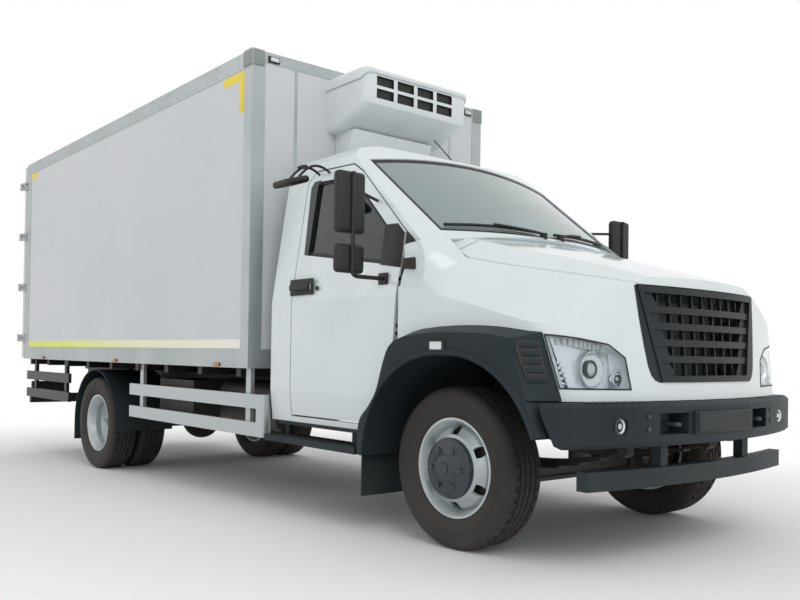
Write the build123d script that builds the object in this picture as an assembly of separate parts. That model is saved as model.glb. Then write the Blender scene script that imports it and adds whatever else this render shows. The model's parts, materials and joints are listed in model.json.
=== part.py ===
from build123d import *
import os
from functools import cache
from math import cos, hypot, radians, sin, tan

# The truck is drawn level: X forward from the front axle, Y to the left, Z up from the ground.
# At the end it is tipped by the rake of its empty rear springs and its origin goes to mid-length on the ground.

# Stance and wheels
wheelbase = 4515.0
rake = 1.2
front_track = 1740.0
rear_track = 1690.0
twin_spacing = 278.0
tyre_radius = 419.0
tyre_width = 245.0
rim_radius = 260.0
rim_width = 190.0
rim_wall = 12.0
hub_radius = 110.0
hand_holes = 6
hand_hole_radius = 29.0
hand_hole_circle = 188.0
hub_face = 112.0
cap_radius = 154.0

# Steering gear
king_pin_y = 780.0
king_pin_radius = 22.0
spindle_radius = 35.0
steering_arm = 150.0
tie_rod_radius = 16.0
tie_rod_z = 300.0
ball_pin_radius = 10.0

# Frame
rail_outer = 430.0
rail_height = 220.0
rail_flange = 75.0
rail_web = 8.0
rail_top = 780.0
frame_nose = 780.0
frame_tail = -6480.0
member_width = 80.0
member_height = 80.0
member_stations = (640.0, -1250.0, -2300.0, -3400.0, -5350.0, -6400.0)
bracket_y = 392.0

# Springs and axles
spring_width = 70.0
spring_half = 640.0
spring_leaves = 4
spring_leaf = 12.0
spring_eye = 24.0
spring_rise = (90.0, 110.0)
front_seat_z = 395.0
beam_bottom = 300.0
beam_half_thick = 40.0
boss_levels = (369.0, 469.0)
boss_radius = 48.0
yoke_levels = (328.0, 510.0)
yoke_lug = 36.0
brake_radius = 170.0
axle_tube = 62.0
axle_bowl = 190.0
pinion_reach = 290.0

# Engine, cooling and tanks
engine_length = (-330.0, 500.0)
engine_half_width = 290.0
engine_levels = (540.0, 1180.0)
gearbox_tail = -1080.0
gearbox_half_width = 150.0
gearbox_levels = (570.0, 765.0)
mount_stations = (-120.0, 300.0)
shaft_radius = 48.0
radiator_length = (640.0, 700.0)
radiator_half_width = 345.0
radiator_top = 1290.0
fuel_tank_size = ((-3000.0, -2200.0), (500.0, 960.0), (430.0, 790.0))
fuel_tank_round = 90.0
air_tank_length = (-2750.0, -1950.0)
air_tank_levels = (520.0, 700.0)
air_tank_radius = 95.0
battery_box = ((-3500.0, -2900.0), (-940.0, -520.0), (480.0, 770.0))

# Cab and nose
cab_half_width = 1034.0
cab_back = -1640.0
cab_bottom = 560.0
cab_roof_height = 2352.0
cab_wall = 55.0
belt_height = 1480.0
floor_top = 850.0
windscreen_top = (-850.0, 2285.0)
windscreen_base = (-110.0, 1695.0)
windscreen_bow = 3600.0
door_gap = 10.0
door_edge = 12.0
nose_front = 840.0
nose_bow = 3400.0
nose_corner = 220.0
nose_lean = 4.7
nose_middle = 1155.0
nose_wall = 30.0
arch_centres = (40.0, 115.0)
arch_radius = 575.0
flare_reach = 106.0
flare_round = 24.0
liner = 6.0
liner_inner = 600.0
bumper_front = 940.0
bumper_bottom = 590.0
bumper_top = 796.0
bumper_edge = 18.0
plate_face = 946.0
plate_half = 277.0
plate_levels = (640.0, 752.0)
glass = 6.0
handle_length = (-1390.0, -1190.0)
handle_levels = (1400.0, 1434.0)
handle_reach = 30.0
handle_thickness = 14.0
mirror_y = 1255.0
mirror_depth = (-560.0, -512.0)
mirror_heads = ((1660.0, 2000.0), (1440.0, 1600.0))
mirror_stem = (-505.0, 1425.0, 2000.0)
mirror_tube = 12.0
seat_rows = ((430.0, 250.0), (-330.0, 440.0))
cushion_length = (-1420.0, -900.0)
cushion_top = 1250.0
backrest_top = 1880.0
wheel_ring = 205.0

# Load box
box_front = -1800.0
box_length = 4910.0
box_width = 2232.0
box_bottom = 892.0
box_height = 2166.0
floor_wall = 110.0
floor_ledge = 12.0
side_wall = 80.0
front_wall = 100.0
roof_wall = 100.0
portal_depth = 60.0
rear_door = 75.0
trim = 4.0
top_rail = 110.0
bottom_rail = 130.0
corner_post = 100.0
bearer_count = 9
bearer_pitch = 560.0
bearer_size = 60.0
guard_levels = (436.0, 624.0)
guard_rail = 95.0
guard_front = (-3770.0, -1720.0)
guard_rear = (-6560.0, -5250.0)
guard_lift = 40.0
marker_stations = (-2213.0, -4037.0, -5950.0)

# Refrigeration unit
unit_half_width = 490.0
unit_bottom = 2590.0
unit_top = 2975.0
unit_depth = 450.0
unit_wall = 20.0
unit_round = 60.0

# Fits
running_fit = 0.05
seat_gap = 0.3
clearance = 5.0

# Levels and stations that follow from the sizes above
axle_z = tyre_radius
arch_height = axle_z + 6
rear_axle_x = -wheelbase
rear_axle_z = tyre_radius - wheelbase * tan(radians(rake))
rail_bottom = rail_top - rail_height
box_half = box_width / 2
box_top = box_bottom + box_height
box_rear = box_front - box_length
portal_rear = box_rear + rear_door + clearance
portal_front = portal_rear + portal_depth
load_floor = box_bottom + floor_wall
wall_foot = load_floor - floor_ledge
load_ceiling = box_top - roof_wall
floor_depth = floor_top - rail_top
tie_rod_y = king_pin_y
bulkhead_x = -420.0
door_pin = (-430.0, cab_half_width - 40.0)
big = 9000.0


def block(x, y, z):
    centre = Pos(sum(x) / 2, sum(y) / 2, sum(z) / 2)
    return centre * Box(abs(x[1] - x[0]), abs(y[1] - y[0]), abs(z[1] - z[0]))


def side_prism(points, y):
    outline = make_face(Polyline(*[(px, y[0], pz) for px, pz in points], close=True))
    return extrude(outline, amount=y[1] - y[0], dir=(0, 1, 0))


def plan_prism(points, z):
    outline = make_face(Polyline(*[(px, py, z[0]) for px, py in points], close=True))
    return extrude(outline, amount=z[1] - z[0], dir=(0, 0, 1))


def front_prism(points, x):
    outline = make_face(Polyline(*[(x[0], py, pz) for py, pz in points], close=True))
    return extrude(outline, amount=x[1] - x[0], dir=(1, 0, 0))


def spun(profile, x, y, z, outward=1):
    """A profile of (radius, offset) turned about a cross axle; offset grows away from the truck's middle."""
    outline = make_face(Polyline(*[(r, outward * offset) for r, offset in profile], close=True))
    return Pos(x, y, z) * revolve(outline, Axis.Y, 360)


def post(x, y, z, radius):
    return Pos(x, y, sum(z) / 2) * Cylinder(radius, abs(z[1] - z[0]))


def bar(x, y, z, radius):
    """A round bar along Y."""
    return Pos(x, sum(y) / 2, z) * Rot(90, 0, 0) * Cylinder(radius, abs(y[1] - y[0]))


def rod(x, y, z, radius):
    """A round bar along X."""
    return Pos(sum(x) / 2, y, z) * Rot(0, 90, 0) * Cylinder(radius, abs(x[1] - x[0]))


def tube(points, radius, bend):
    path = FilletPolyline(*points, radius=bend)
    return sweep((path ^ 0) * Circle(radius), path=path)


def strut(start, end, radius):
    along = Vector(*end) - Vector(*start)
    return Plane(start, z_dir=along) * (Pos(0, 0, along.length / 2) * Cylinder(radius, along.length))


def mirrored(shape):
    return mirror(shape, about=Plane.XZ)


def both(shape):
    return Part() + [shape, mirrored(shape)]


def inset_outline(points, amount):
    """The same corners moved inwards by one amount; the corners run anticlockwise."""
    moved = []
    for i, (x, y) in enumerate(points):
        x0, y0 = points[i - 1]
        x1, y1 = points[(i + 1) % len(points)]
        ax, ay = (x - x0) / hypot(x - x0, y - y0), (y - y0) / hypot(x - x0, y - y0)
        bx, by = (x1 - x) / hypot(x1 - x, y1 - y), (y1 - y) / hypot(x1 - x, y1 - y)
        lean = 1 + ax * bx + ay * by
        moved.append((x - amount * (ay + by) / lean, y + amount * (ax + bx) / lean))
    return moved


# Cab form: a side outline and a front outline crossed, with the windscreen bowed across the width
cab_side_outline = [
    (cab_back, cab_bottom),
    (-385, cab_bottom),
    (-385, belt_height - 10),
    (-300, belt_height + 80),
    windscreen_base,
    windscreen_top,
    (-1000, 2325),
    (-1200, cab_roof_height),
    (-1540, 2322),
    (-1610, 2270),
    (cab_back, 2190),
]
cab_front_half = [
    (cab_half_width - 40, cab_bottom - 200),
    (cab_half_width, cab_bottom + 200),
    (cab_half_width, belt_height - 150),
    (cab_half_width - 22, belt_height),
    (905, 2160),
    (880, 2235),
    (815, 2290),
    (700, 2318),
]
cab_front_outline = cab_front_half + [(0, cab_roof_height)] + [(-y, z) for y, z in reversed(cab_front_half)]


def windscreen_frame():
    """The windscreen's middle, with Z square to the glass and X up along it."""
    up = Vector(windscreen_top[0] - windscreen_base[0], 0, windscreen_top[1] - windscreen_base[1]).normalized()
    middle = (Vector(*[windscreen_top[0], 0, windscreen_top[1]]) + Vector(windscreen_base[0], 0, windscreen_base[1])) / 2
    return Plane(middle, x_dir=up, z_dir=Vector(-up.Z, 0, up.X) * -1)


def front_form(inset):
    return front_prism(inset_outline(cab_front_outline, inset), (-big / 2, big / 2))


def side_skin(outer, inner):
    return front_form(outer) - front_form(inner)


@cache
def cab_form(inset):
    side = side_prism(inset_outline(cab_side_outline, inset), (-big / 2, big / 2))
    bow = windscreen_frame() * (Pos(0, 0, -windscreen_bow) * Rot(0, 90, 0) * Cylinder(windscreen_bow - inset, big))
    return side & front_form(inset) & bow


# Nose form: sections from the bulkhead to the grille, each a side, a wing top, and a bonnet crown
nose_sections = [
    # station, side top, shoulder half width, shoulder height, crown height, bulge of the wing top
    (-430, 1390, 828, 1725, 1763, 40),
    (0, 1300, 644, 1610, 1648, 14),
    (420, 1195, 515, 1505, 1530, 12),
    (880, 1082, 450, 1368, 1390, 12),
]
nose_bottom = 500.0


def nose_section(row, inset):
    x, side_top, shoulder_y, shoulder_z, crown_z, bulge = row
    half = cab_half_width - inset
    low = (x, half, nose_bottom)
    side = (x, half, side_top - inset / 3)
    shoulder = (x, shoulder_y - inset / 2, shoulder_z - inset)
    middle = (x, (half + shoulder[1]) / 2 + bulge, (side[2] + shoulder[2]) / 2 + bulge)
    left = [Line(low, side), ThreePointArc(side, middle, shoulder)]
    crown = ThreePointArc(shoulder, (x, 0, crown_z - inset), (x, -shoulder[1], shoulder[2]))
    right = [mirrored(edge) for edge in left]
    foot = Line(low, (x, -half, nose_bottom))
    return make_face(left + [crown] + right + [foot])


def nose_plan(inset):
    """The nose seen from above: a bowed front with rounded corners, drawn from the middle of the bow."""
    reach = cab_half_width - inset + 2
    bow = nose_bow - inset
    corner = (bow**2 - reach**2) ** 0.5
    rear = bow - 1700
    front = ThreePointArc((corner, -reach), (bow, 0), (corner, reach))
    ends = [Line((corner, y), (rear, y)) for y in (-reach, reach)]
    outline = make_face([front, Line((rear, -reach), (rear, reach))] + ends)
    return fillet(outline.vertices().sort_by(Axis.X)[-2:], nose_corner - inset)


@cache
def nose_form(inset):
    body = loft([nose_section(row, inset) for row in nose_sections])
    lean = Pos(nose_front - nose_bow, 0, nose_middle) * Rot(0, -nose_lean, 0)
    return body & lean * extrude(nose_plan(inset), amount=1500, both=True)


def nose_skin(outer, inner):
    return nose_form(outer) - nose_form(inner)


def arch_space(y, grow):
    """The wheel arch: two rounds, the front one further forward than the wheel."""
    return Part() + [bar(x, y, arch_height, arch_radius + grow) for x in arch_centres]


# Side outlines of the doors and the glass, front outlines of the grille and the lamps
door_outline = [
    (-1410, 600),
    (-640, 600),
    (-405, 1080),
    (-378, belt_height),
    (-375, 1690),
    (-840, 2105),
    (-940, 2165),
    (-1330, 2180),
    (-1410, 2110),
]
window_outline = [
    (-1310, 1625),
    (-450, 1500),
    (-450, 1655),
    (-865, 2030),
    (-960, 2090),
    (-1280, 2105),
    (-1310, 2075),
]
bonnet_plan = [(-160, 812), (-60, 812), (763, 556), (900, 515)]
grille_outline = [(552, 1350), (-552, 1350), (-417, 887), (417, 887)]
lamp_outline = [(1100, 1120), (745, 1066), (647, 1004), (620, 850), (1100, 856)]
lamp_side = [(606, 1140), (1300, 1140), (1300, 840), (690, 840)]


def frame_rails():
    rail = block((frame_tail, frame_nose), (rail_outer - rail_flange, rail_outer), (rail_bottom, rail_top))
    channel_y = (rail_outer - rail_flange, rail_outer - rail_web)
    rail -= block((frame_tail, frame_nose), channel_y, (rail_bottom + rail_web, rail_top - rail_web))
    return both(rail)


def frame_members():
    reach = rail_outer - rail_web
    levels = (rail_top - rail_web - member_height, rail_top - rail_web)
    return Part() + [block((x, x + member_width), (-reach, reach), levels) for x in member_stations]


def leaf_spring(x, y, seat_z, rise):
    """A pack of leaves on an axle seat, the main leaf bowed up to its eyes and hung from the rail by hangers."""
    pack = Part()
    leaf = spring_leaf
    for i in range(spring_leaves):
        reach = spring_half * (1 - 0.2 * (spring_leaves - 1 - i))
        sag = rise * (reach / spring_half) ** 2
        low = seat_z + leaf * i
        under = ThreePointArc((x - reach, 0, low + sag), (x, 0, low), (x + reach, 0, low + sag))
        over = ThreePointArc((x + reach, 0, low + sag + leaf), (x, 0, low + leaf), (x - reach, 0, low + sag + leaf))
        ends = [Line(under @ 1, over @ 0), Line(over @ 1, under @ 0)]
        pack += extrude(make_face([under, over] + ends), amount=spring_width / 2, dir=(0, 1, 0), both=True)
    eye_z = seat_z + leaf * (spring_leaves - 1) + rise + leaf / 2
    for end in (-1, 1):
        pack += bar(x + end * spring_half, (-spring_width / 2, spring_width / 2), eye_z, spring_eye)
    return Pos(0, y, 0) * pack, eye_z


front_spring_y = rail_outer - spring_width / 2
rear_spring_y = rail_outer + spring_width / 2 + 25
rear_seat_z = rear_axle_z + 75


def springs(x, y, seat_z, rise):
    pack, eye_z = leaf_spring(x, y, seat_z, rise)
    for end in (-1, 1):
        eye_x = x + end * spring_half
        if y > rail_outer:
            hanger = block((eye_x - 30, eye_x + 30), (rail_outer, y + spring_width / 2), (eye_z + 10, rail_bottom + 90))
        else:
            hanger = block((eye_x - 30, eye_x + 30), (y - 30, y + 30), (eye_z + 10, rail_bottom))
        pack += hanger
    return both(pack)


def leaf_springs():
    front = springs(0, front_spring_y, front_seat_z, spring_rise[0])
    return front + springs(rear_axle_x, rear_spring_y, rear_seat_z, spring_rise[1])


def front_axle():
    low, high = boss_levels
    half = [(0, beam_bottom), (560, beam_bottom), (715, low), (king_pin_y, low)]
    top = [(king_pin_y, high), (700, high - 29), (600, front_seat_z), (0, front_seat_z)]
    beam = front_prism(half + top, (-beam_half_thick, beam_half_thick))
    for face in (-1, 1):
        beam -= block((face * 18, face * beam_half_thick), (0, 560), (beam_bottom + 22, front_seat_z - 22))
    beam += post(0, king_pin_y, boss_levels, boss_radius)
    beam -= post(0, king_pin_y, (low - 50, high + 50), king_pin_radius + running_fit)
    return beam + mirrored(beam)


def knuckle():
    yoke_y = (king_pin_y + 58, king_pin_y + 82)
    foot, head = yoke_levels
    body = block((-60, 60), yoke_y, yoke_levels)
    for low in (foot, head - yoke_lug):
        body += block((-42, 42), (king_pin_y, yoke_y[1]), (low, low + yoke_lug))
        body += post(0, king_pin_y, (low, low + yoke_lug), 42)
    body += post(0, king_pin_y, yoke_levels, king_pin_radius)
    body += bar(0, (yoke_y[0], yoke_y[0] + 12), axle_z, brake_radius)
    body += bar(0, (yoke_y[1], front_track / 2 + 62), axle_z, spindle_radius)
    arm = [(-20, king_pin_y + 40), (-20, king_pin_y - 40), (-steering_arm - 24, tie_rod_y - 24),
           (-steering_arm - 24, tie_rod_y + 24), (-steering_arm + 10, tie_rod_y + 24)]
    body += plan_prism(arm, (foot, foot + 16))
    body += post(-steering_arm, tie_rod_y, (tie_rod_z - 20, foot + 12), ball_pin_radius)
    return body


def tie_rod():
    rod_body = bar(-steering_arm, (-tie_rod_y, tie_rod_y), tie_rod_z, tie_rod_radius)
    for y in (-tie_rod_y, tie_rod_y):
        rod_body += post(-steering_arm, y, (tie_rod_z - 15, tie_rod_z + 15), 26)
        rod_body -= post(-steering_arm, y, (tie_rod_z - 40, tie_rod_z + 40), ball_pin_radius + running_fit)
    return rod_body


rim_half = rim_width / 2
barrel_outer = [
    # radius, offset from the rim's middle
    (rim_radius - 12, -rim_half), (rim_radius, -rim_half), (rim_radius, -rim_half + 10), (rim_radius - 14, -rim_half + 16),
    (rim_radius - 34, -30), (rim_radius - 34, 30), (rim_radius - 14, rim_half - 16), (rim_radius, rim_half - 10),
    (rim_radius, rim_half), (rim_radius - 12, rim_half),
]
barrel_inner = [(rim_radius - 24, rim_half - 18), (rim_radius - 34 - rim_wall, 26), (rim_radius - 34 - rim_wall, -26),
                (rim_radius - 24, -rim_half + 18)]


def front_rim(side):
    y = side * front_track / 2
    rim = spun(barrel_outer + barrel_inner, 0, y, axle_z, side)
    well = rim_radius - 34 - rim_wall / 2
    disc = [(well, 30), (206, 62), (172, hub_face - 14), (144, hub_face), (hub_radius, hub_face), (hub_radius, hub_face - 12),
            (140, hub_face - 12), (164, hub_face - 26), (196, 50), (well, 12)]
    rim += spun(disc, 0, y, axle_z, side)
    bore = spindle_radius + running_fit
    rim += spun([(bore, -3), (hub_radius, -3), (hub_radius, hub_face), (bore, hub_face)], 0, y, axle_z, side)
    for hole in range(hand_holes):
        angle = radians(360 / hand_holes * hole + 30)
        place = Pos(hand_hole_circle * cos(angle), y, axle_z + hand_hole_circle * sin(angle))
        rim -= place * Rot(90, 0, 0) * Cylinder(hand_hole_radius, rim_width)
    return rim


def hub_cap(side):
    y = side * front_track / 2
    dome = [(0, hub_face), (cap_radius, hub_face), (cap_radius - 4, hub_face + 14), (118, hub_face + 26), (84, hub_face + 30),
            (66, hub_face + 46), (40, hub_face + 50), (0, hub_face + 50)]
    cap = spun(dome, 0, y, axle_z, side)
    for stud in range(6):
        angle = radians(60 * stud)
        place = Pos(104 * cos(angle), y + side * (hub_face + 22), axle_z + 104 * sin(angle))
        cap += place * Rot(90, 0, 0) * Cylinder(15, 24)
    return cap


tyre_half = tyre_width / 2
tyre_profile = [
    # radius, offset from the tyre's middle
    (rim_radius + seat_gap, -rim_half + 2), (rim_radius + 60, -tyre_half + 4), (rim_radius + 100, -tyre_half),
    (tyre_radius - 14, -tyre_half + 14), (tyre_radius, -tyre_half + 34), (tyre_radius, tyre_half - 34),
    (tyre_radius - 14, tyre_half - 14), (rim_radius + 100, tyre_half), (rim_radius + 60, tyre_half - 4),
    (rim_radius + seat_gap, rim_half - 2),
]


def front_tyre(side):
    return spun(tyre_profile, 0, side * front_track / 2, axle_z, side)


def twin_rims(side):
    middle = side * rear_track / 2
    wheels = Part()
    for end in (-1, 1):
        wheels += spun(barrel_outer + barrel_inner, rear_axle_x, middle + side * end * twin_spacing / 2, rear_axle_z, side)
    well = rim_radius - 34 - rim_wall / 2
    reach = twin_spacing / 2 - 26
    disc = [(well, reach + 14), (190, reach - 40), (150, 16), (hub_radius, 16), (hub_radius, 0), (158, 0),
            (200, reach - 50), (well, reach - 4)]
    wheels += spun(disc, rear_axle_x, middle, rear_axle_z, side)
    wheels += spun([(r, -offset) for r, offset in disc], rear_axle_x, middle, rear_axle_z, side)
    for hole in range(hand_holes):
        angle = radians(360 / hand_holes * hole)
        place = Pos(rear_axle_x + 178 * cos(angle), middle, rear_axle_z + 178 * sin(angle))
        wheels -= place * Rot(90, 0, 0) * Cylinder(22, twin_spacing - 60)
    bore = spindle_radius + 10 + running_fit
    hub = [(bore, -80), (hub_radius, -80), (hub_radius, 30), (92, 34), (88, 120), (bore, 128)]
    return wheels + spun(hub, rear_axle_x, middle, rear_axle_z, side)


def twin_tyres(side):
    middle = side * rear_track / 2
    return Part() + [
        spun(tyre_profile, rear_axle_x, middle + end * twin_spacing / 2, rear_axle_z) for end in (-1, 1)
    ]


def rear_axle():
    inner = rear_track / 2 - 80 - clearance
    axle = bar(rear_axle_x, (-inner, inner), rear_axle_z, axle_tube)
    axle += bar(rear_axle_x, (-rear_track / 2 - 120, rear_track / 2 + 120), rear_axle_z, spindle_radius + 10)
    axle += Pos(rear_axle_x, 0, rear_axle_z) * Sphere(axle_bowl)
    axle += rod((rear_axle_x, rear_axle_x + pinion_reach), 0, rear_axle_z, 90)
    for side in (-1, 1):
        pad = (side * (rear_spring_y - 45), side * (rear_spring_y + 45))
        axle += block((rear_axle_x - 70, rear_axle_x + 70), pad, (rear_axle_z, rear_seat_z))
        axle += bar(rear_axle_x, (side * (inner - 30), side * (inner - 18)), rear_axle_z, brake_radius + 10)
    return axle


def engine_block():
    engine = block(engine_length, (-engine_half_width, engine_half_width), engine_levels)
    engine += block((gearbox_tail, engine_length[0]), (-gearbox_half_width, gearbox_half_width), gearbox_levels)
    for x in mount_stations:
        engine += block((x - 40, x + 40), (-rail_outer + rail_web, rail_outer - rail_web), (610, 670))
    return engine


def propeller_shaft():
    start = Vector(gearbox_tail - seat_gap, 0, 630)
    end = Vector(rear_axle_x + pinion_reach + seat_gap, 0, rear_axle_z)
    along = Plane(start, z_dir=end - start)
    shaft = along * (Pos(0, 0, (end - start).length / 2) * Cylinder(shaft_radius, (end - start).length - 130))
    return shaft + rod((start.X - 90, start.X), 0, start.Z, 40) + rod((end.X, end.X + 90), 0, end.Z, 40)


def radiator():
    return block(radiator_length, (-radiator_half_width, radiator_half_width), (rail_top - rail_web, radiator_top))


@cache
def cab_shell():
    shell = cab_form(0) - cab_form(cab_wall)
    inner = cab_half_width - cab_wall
    shell -= block((cab_back + cab_wall, 0), (-inner, inner), (0, floor_top))
    shell -= block((-big, -300), (-inner, inner), (0, rail_top))
    shell -= side_prism(inset_outline(door_outline, -door_gap / 2), (-big / 2, big / 2))
    shell -= block((-660, 100), (-big, big), (0, belt_height + 60))
    shell -= cab_form(door_edge + 4) & block((-400, -345), (-big, big), (belt_height + 50, 1750))
    return shell - windscreen_opening(0)


# Windscreen opening: half width, and the heights along the glass of its corners and of its bowed edges' middles
screen_half = 825.0
screen_base_rise = (118.0, 24.0)
screen_top_drop = (18.0, 34.0)


def windscreen_opening(shrink):
    span = hypot(windscreen_top[0] - windscreen_base[0], windscreen_top[1] - windscreen_base[1])
    half = span / 2 - shrink
    side = screen_half - shrink
    low, low_middle = [-half + rise for rise in screen_base_rise]
    high, high_middle = [half - drop for drop in screen_top_drop]
    base = ThreePointArc((low, side, 0), (low_middle, 0, 0), (low, -side, 0))
    top = ThreePointArc((high, side, 0), (high_middle, 0, 0), (high, -side, 0))
    edges = [Line((low, y, 0), (high, y, 0)) for y in (-side, side)]
    return windscreen_frame() * extrude(make_face([base, top] + edges), amount=220, both=True)


roof_seam = 2200.0
back_seam = cab_back + cab_wall


def cab_roof():
    return cab_shell() & block((-big, big), (-big, big), (roof_seam, big))


def cab_back_wall():
    return cab_shell() & block((-big, back_seam), (-big, big), (0, roof_seam))


def cab_pillars():
    return cab_shell() & block((back_seam, big), (-big, big), (0, roof_seam))


def cab_floor():
    reach = door_pin[1] - 66
    floor = block((back_seam, bulkhead_x), (-reach, reach), (floor_top - floor_depth, floor_top))
    bulkhead = block((bulkhead_x, bulkhead_x + 40), (-reach, reach), (floor_top - floor_depth, belt_height + 60))
    for y in (-reach + 60, reach - 60):
        floor += block((back_seam, bulkhead_x), (y - 60, y + 60), (620, floor_top - floor_depth))
    tub = floor + bulkhead + bonnet_lugs()
    for side in (-1, 1):
        tub -= block((bulkhead_x, bulkhead_x + 40), (side * (reach - 60), side * big), (hinge_levels[1] + 32, big))
    for side in (-1, 1):
        tub -= arch_space((side * liner_inner, side * big), liner + seat_gap)
    return tub + door_lugs(1) + door_lugs(-1)


hinge_levels = (1140.0, 1400.0)
lug = 12.0
eye = 24.0


def door_lugs(side):
    """Fixed hinge lugs that reach from the bulkhead's ends out to the door pins."""
    x, y = door_pin
    lugs = Part()
    inner = y - 72
    for z in hinge_levels:
        for low in (z - eye / 2 - lug - 1, z + eye / 2 + 1):
            lugs += block((x - 16, x + 16), (side * inner, side * y), (low, low + lug))
            lugs += post(x, side * y, (low, low + lug), 16)
        lugs += post(x, side * y, (z - eye / 2 - lug - 1, z + eye / 2 + lug + 1), 8)
    return lugs


bonnet_pin = (-200.0, 1552.0)
bonnet_hinge_y = (-620.0, 620.0)


def bonnet_lugs():
    x, z = bonnet_pin
    lugs = Part()
    top = belt_height + 60
    for y in bonnet_hinge_y:
        for low in (y - 25, y + 13):
            web = [(bulkhead_x, top - 100), (bulkhead_x + 40, top - 100), (x + 14, z - 10), (x + 8, z + 14), (x - 14, z + 14),
                   (bulkhead_x, top - 40)]
            lugs += side_prism(web, (low, low + 12))
        lugs += bar(x, (y - 25, y + 25), z, 8)
    return lugs


def windscreen():
    pane = cab_form(10) - cab_form(10 + glass)
    return (pane & windscreen_opening(seat_gap)).solids().sort_by(SortBy.VOLUME)[-1]


def cab_door(side):
    span = (0, side * big / 2)
    panel = side_skin(0, cab_wall) & side_prism(inset_outline(door_outline, door_gap / 2), span)
    panel -= side_prism(window_outline, span)
    x, y = door_pin
    panel -= front_form(door_edge) & block((x + 6, 0), (-big, big), (hinge_levels[1] + 32, big))
    for z in hinge_levels:
        pocket_z = (z - eye / 2 - lug - 8, z + eye / 2 + lug + 8)
        panel -= block((x - 45, x + 90), (0, side * (y + 24)), pocket_z)
        arm = block((x - 60, x), (side * (y - 12), side * (y + 12)), (z - eye / 2, z + eye / 2))
        arm += post(x, side * y, (z - eye / 2, z + eye / 2), 18)
        panel += arm - post(x, side * y, (z - 50, z + 50), 8 + running_fit)
    handle_y = (side * (cab_half_width - 25), side * (cab_half_width + handle_reach))
    handle = block(handle_length, (handle_y[1] - side * handle_thickness, handle_y[1]), handle_levels)
    for foot in (handle_length[0], handle_length[1] - 30):
        handle += block((foot, foot + 30), handle_y, handle_levels)
    return panel + handle


def door_glass(side):
    span = (0, side * big / 2)
    pane = side_skin(18, 18 + glass)
    return pane & side_prism(inset_outline(window_outline, seat_gap), span)


def mirror_set():
    """Two mirror heads on a bent tube that is fixed to the door, with a strut at its top."""
    x, foot, head = mirror_stem
    y = mirror_y
    stem = tube([(x, cab_half_width - 12, foot), (x, y, foot), (x, y, head)], mirror_tube, 60)
    stem += strut((x, y, head - 95), (x - 155, 955, head - 105), 9)
    return stem + [block(mirror_depth, (y - 100, y + 105), levels) for levels in mirror_heads]


def bonnet_region(grow):
    half = [(x, y + grow) for x, y in bonnet_plan]
    outline = half + [(x, -y) for x, y in reversed(half)]
    return plan_prism(outline, (1352 - grow, 2200))


def bonnet():
    panel = nose_skin(0, nose_wall) & bonnet_region(-bonnet_gap)
    panel -= cowl_line(3)
    panel -= nose_form(bonnet_rear_wall) & cowl_line(bonnet_rear_reach)
    x, z = bonnet_pin
    for y in bonnet_hinge_y:
        neck = [(x - 13, z - 5), (x + 64, z - 126), (x + 162, z - 104), (x + 250, z + 40), (x + 190, z + 40), (x + 142, z - 82),
                (x + 82, z - 100), (x + 13, z + 8), (x - 5, z + 13)]
        arm = side_prism(neck, (y - 12, y + 12)) & nose_form(bonnet_rear_wall / 2)
        panel += arm - bar(x, (y - 40, y + 40), z, 8 + running_fit)
    return panel


cowl_edge = -5.0
cowl_bow = 2500.0
cowl_drop = 4.0
cowl_gap = 16.0
bonnet_gap = 4.5
bonnet_rear_wall = 12.0
bonnet_rear_reach = 90.0


def cowl_line(grow):
    """Everything behind the bowed rear edge of the bonnet."""
    return Pos(cowl_edge - cowl_bow + grow, 0, 1500) * Cylinder(cowl_bow, 2000)


def cowl_panel():
    panel = nose_skin(cowl_drop, cowl_drop + 12) & cowl_line(-cowl_gap) & bonnet_region(bonnet_gap - seat_gap)
    panel &= block((-330, 200), (-big, big), (1400, 2200))
    return panel - cab_form(-1)


def front_wings():
    skin = nose_skin(0, nose_wall)
    skin -= bonnet_region(bonnet_gap)
    skin -= cab_form(-1)
    skin -= arch_space((-big, big), liner + seat_gap)
    skin -= block((-big, arch_centres[0]), (-big, big), (0, 900))
    skin -= block((arch_centres[0], big), (-big, big), (0, bumper_top + 4))
    skin -= side_prism(inset_outline(door_outline, -door_gap / 2), (-big / 2, big / 2))
    skin -= block((-big, -370), (-big, big), (0, big))
    skin -= front_prism(grille_outline, (500, 1200))
    skin -= lamp_space(0)
    skin -= nose_form(3) & block((-370, -300), (-big, big), (900, belt_height + 20))
    return skin - block((-370, -356), (-big, big), (1376, belt_height + 20))


def lamp_space(inset):
    """The two lamp openings: a front outline each, ended on the flank by a slanted line."""
    flank = side_prism(inset_outline(lamp_side[::-1], inset), (-big / 2, big / 2))
    fronts = Part()
    for side in (-1, 1):
        outline = [(side * y, z) for y, z in lamp_outline]
        if side < 0:
            outline.reverse()
        fronts += front_prism(inset_outline(outline, inset), (500, 1200))
    return fronts & flank


def headlamps():
    return nose_skin(0, 70) & lamp_space(1)


grille_rim = 32.0
grille_rows = 5
grille_slat = 34.0
cheek_width = (70.0, 100.0)
upright_pitch = 95.0


def grille_edge(z):
    """Half width of the grille at a height."""
    (top_y, top_z), (low_y, low_z) = grille_outline[0], grille_outline[3]
    return low_y + (top_y - low_y) * (z - low_z) / (top_z - low_z)


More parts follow.
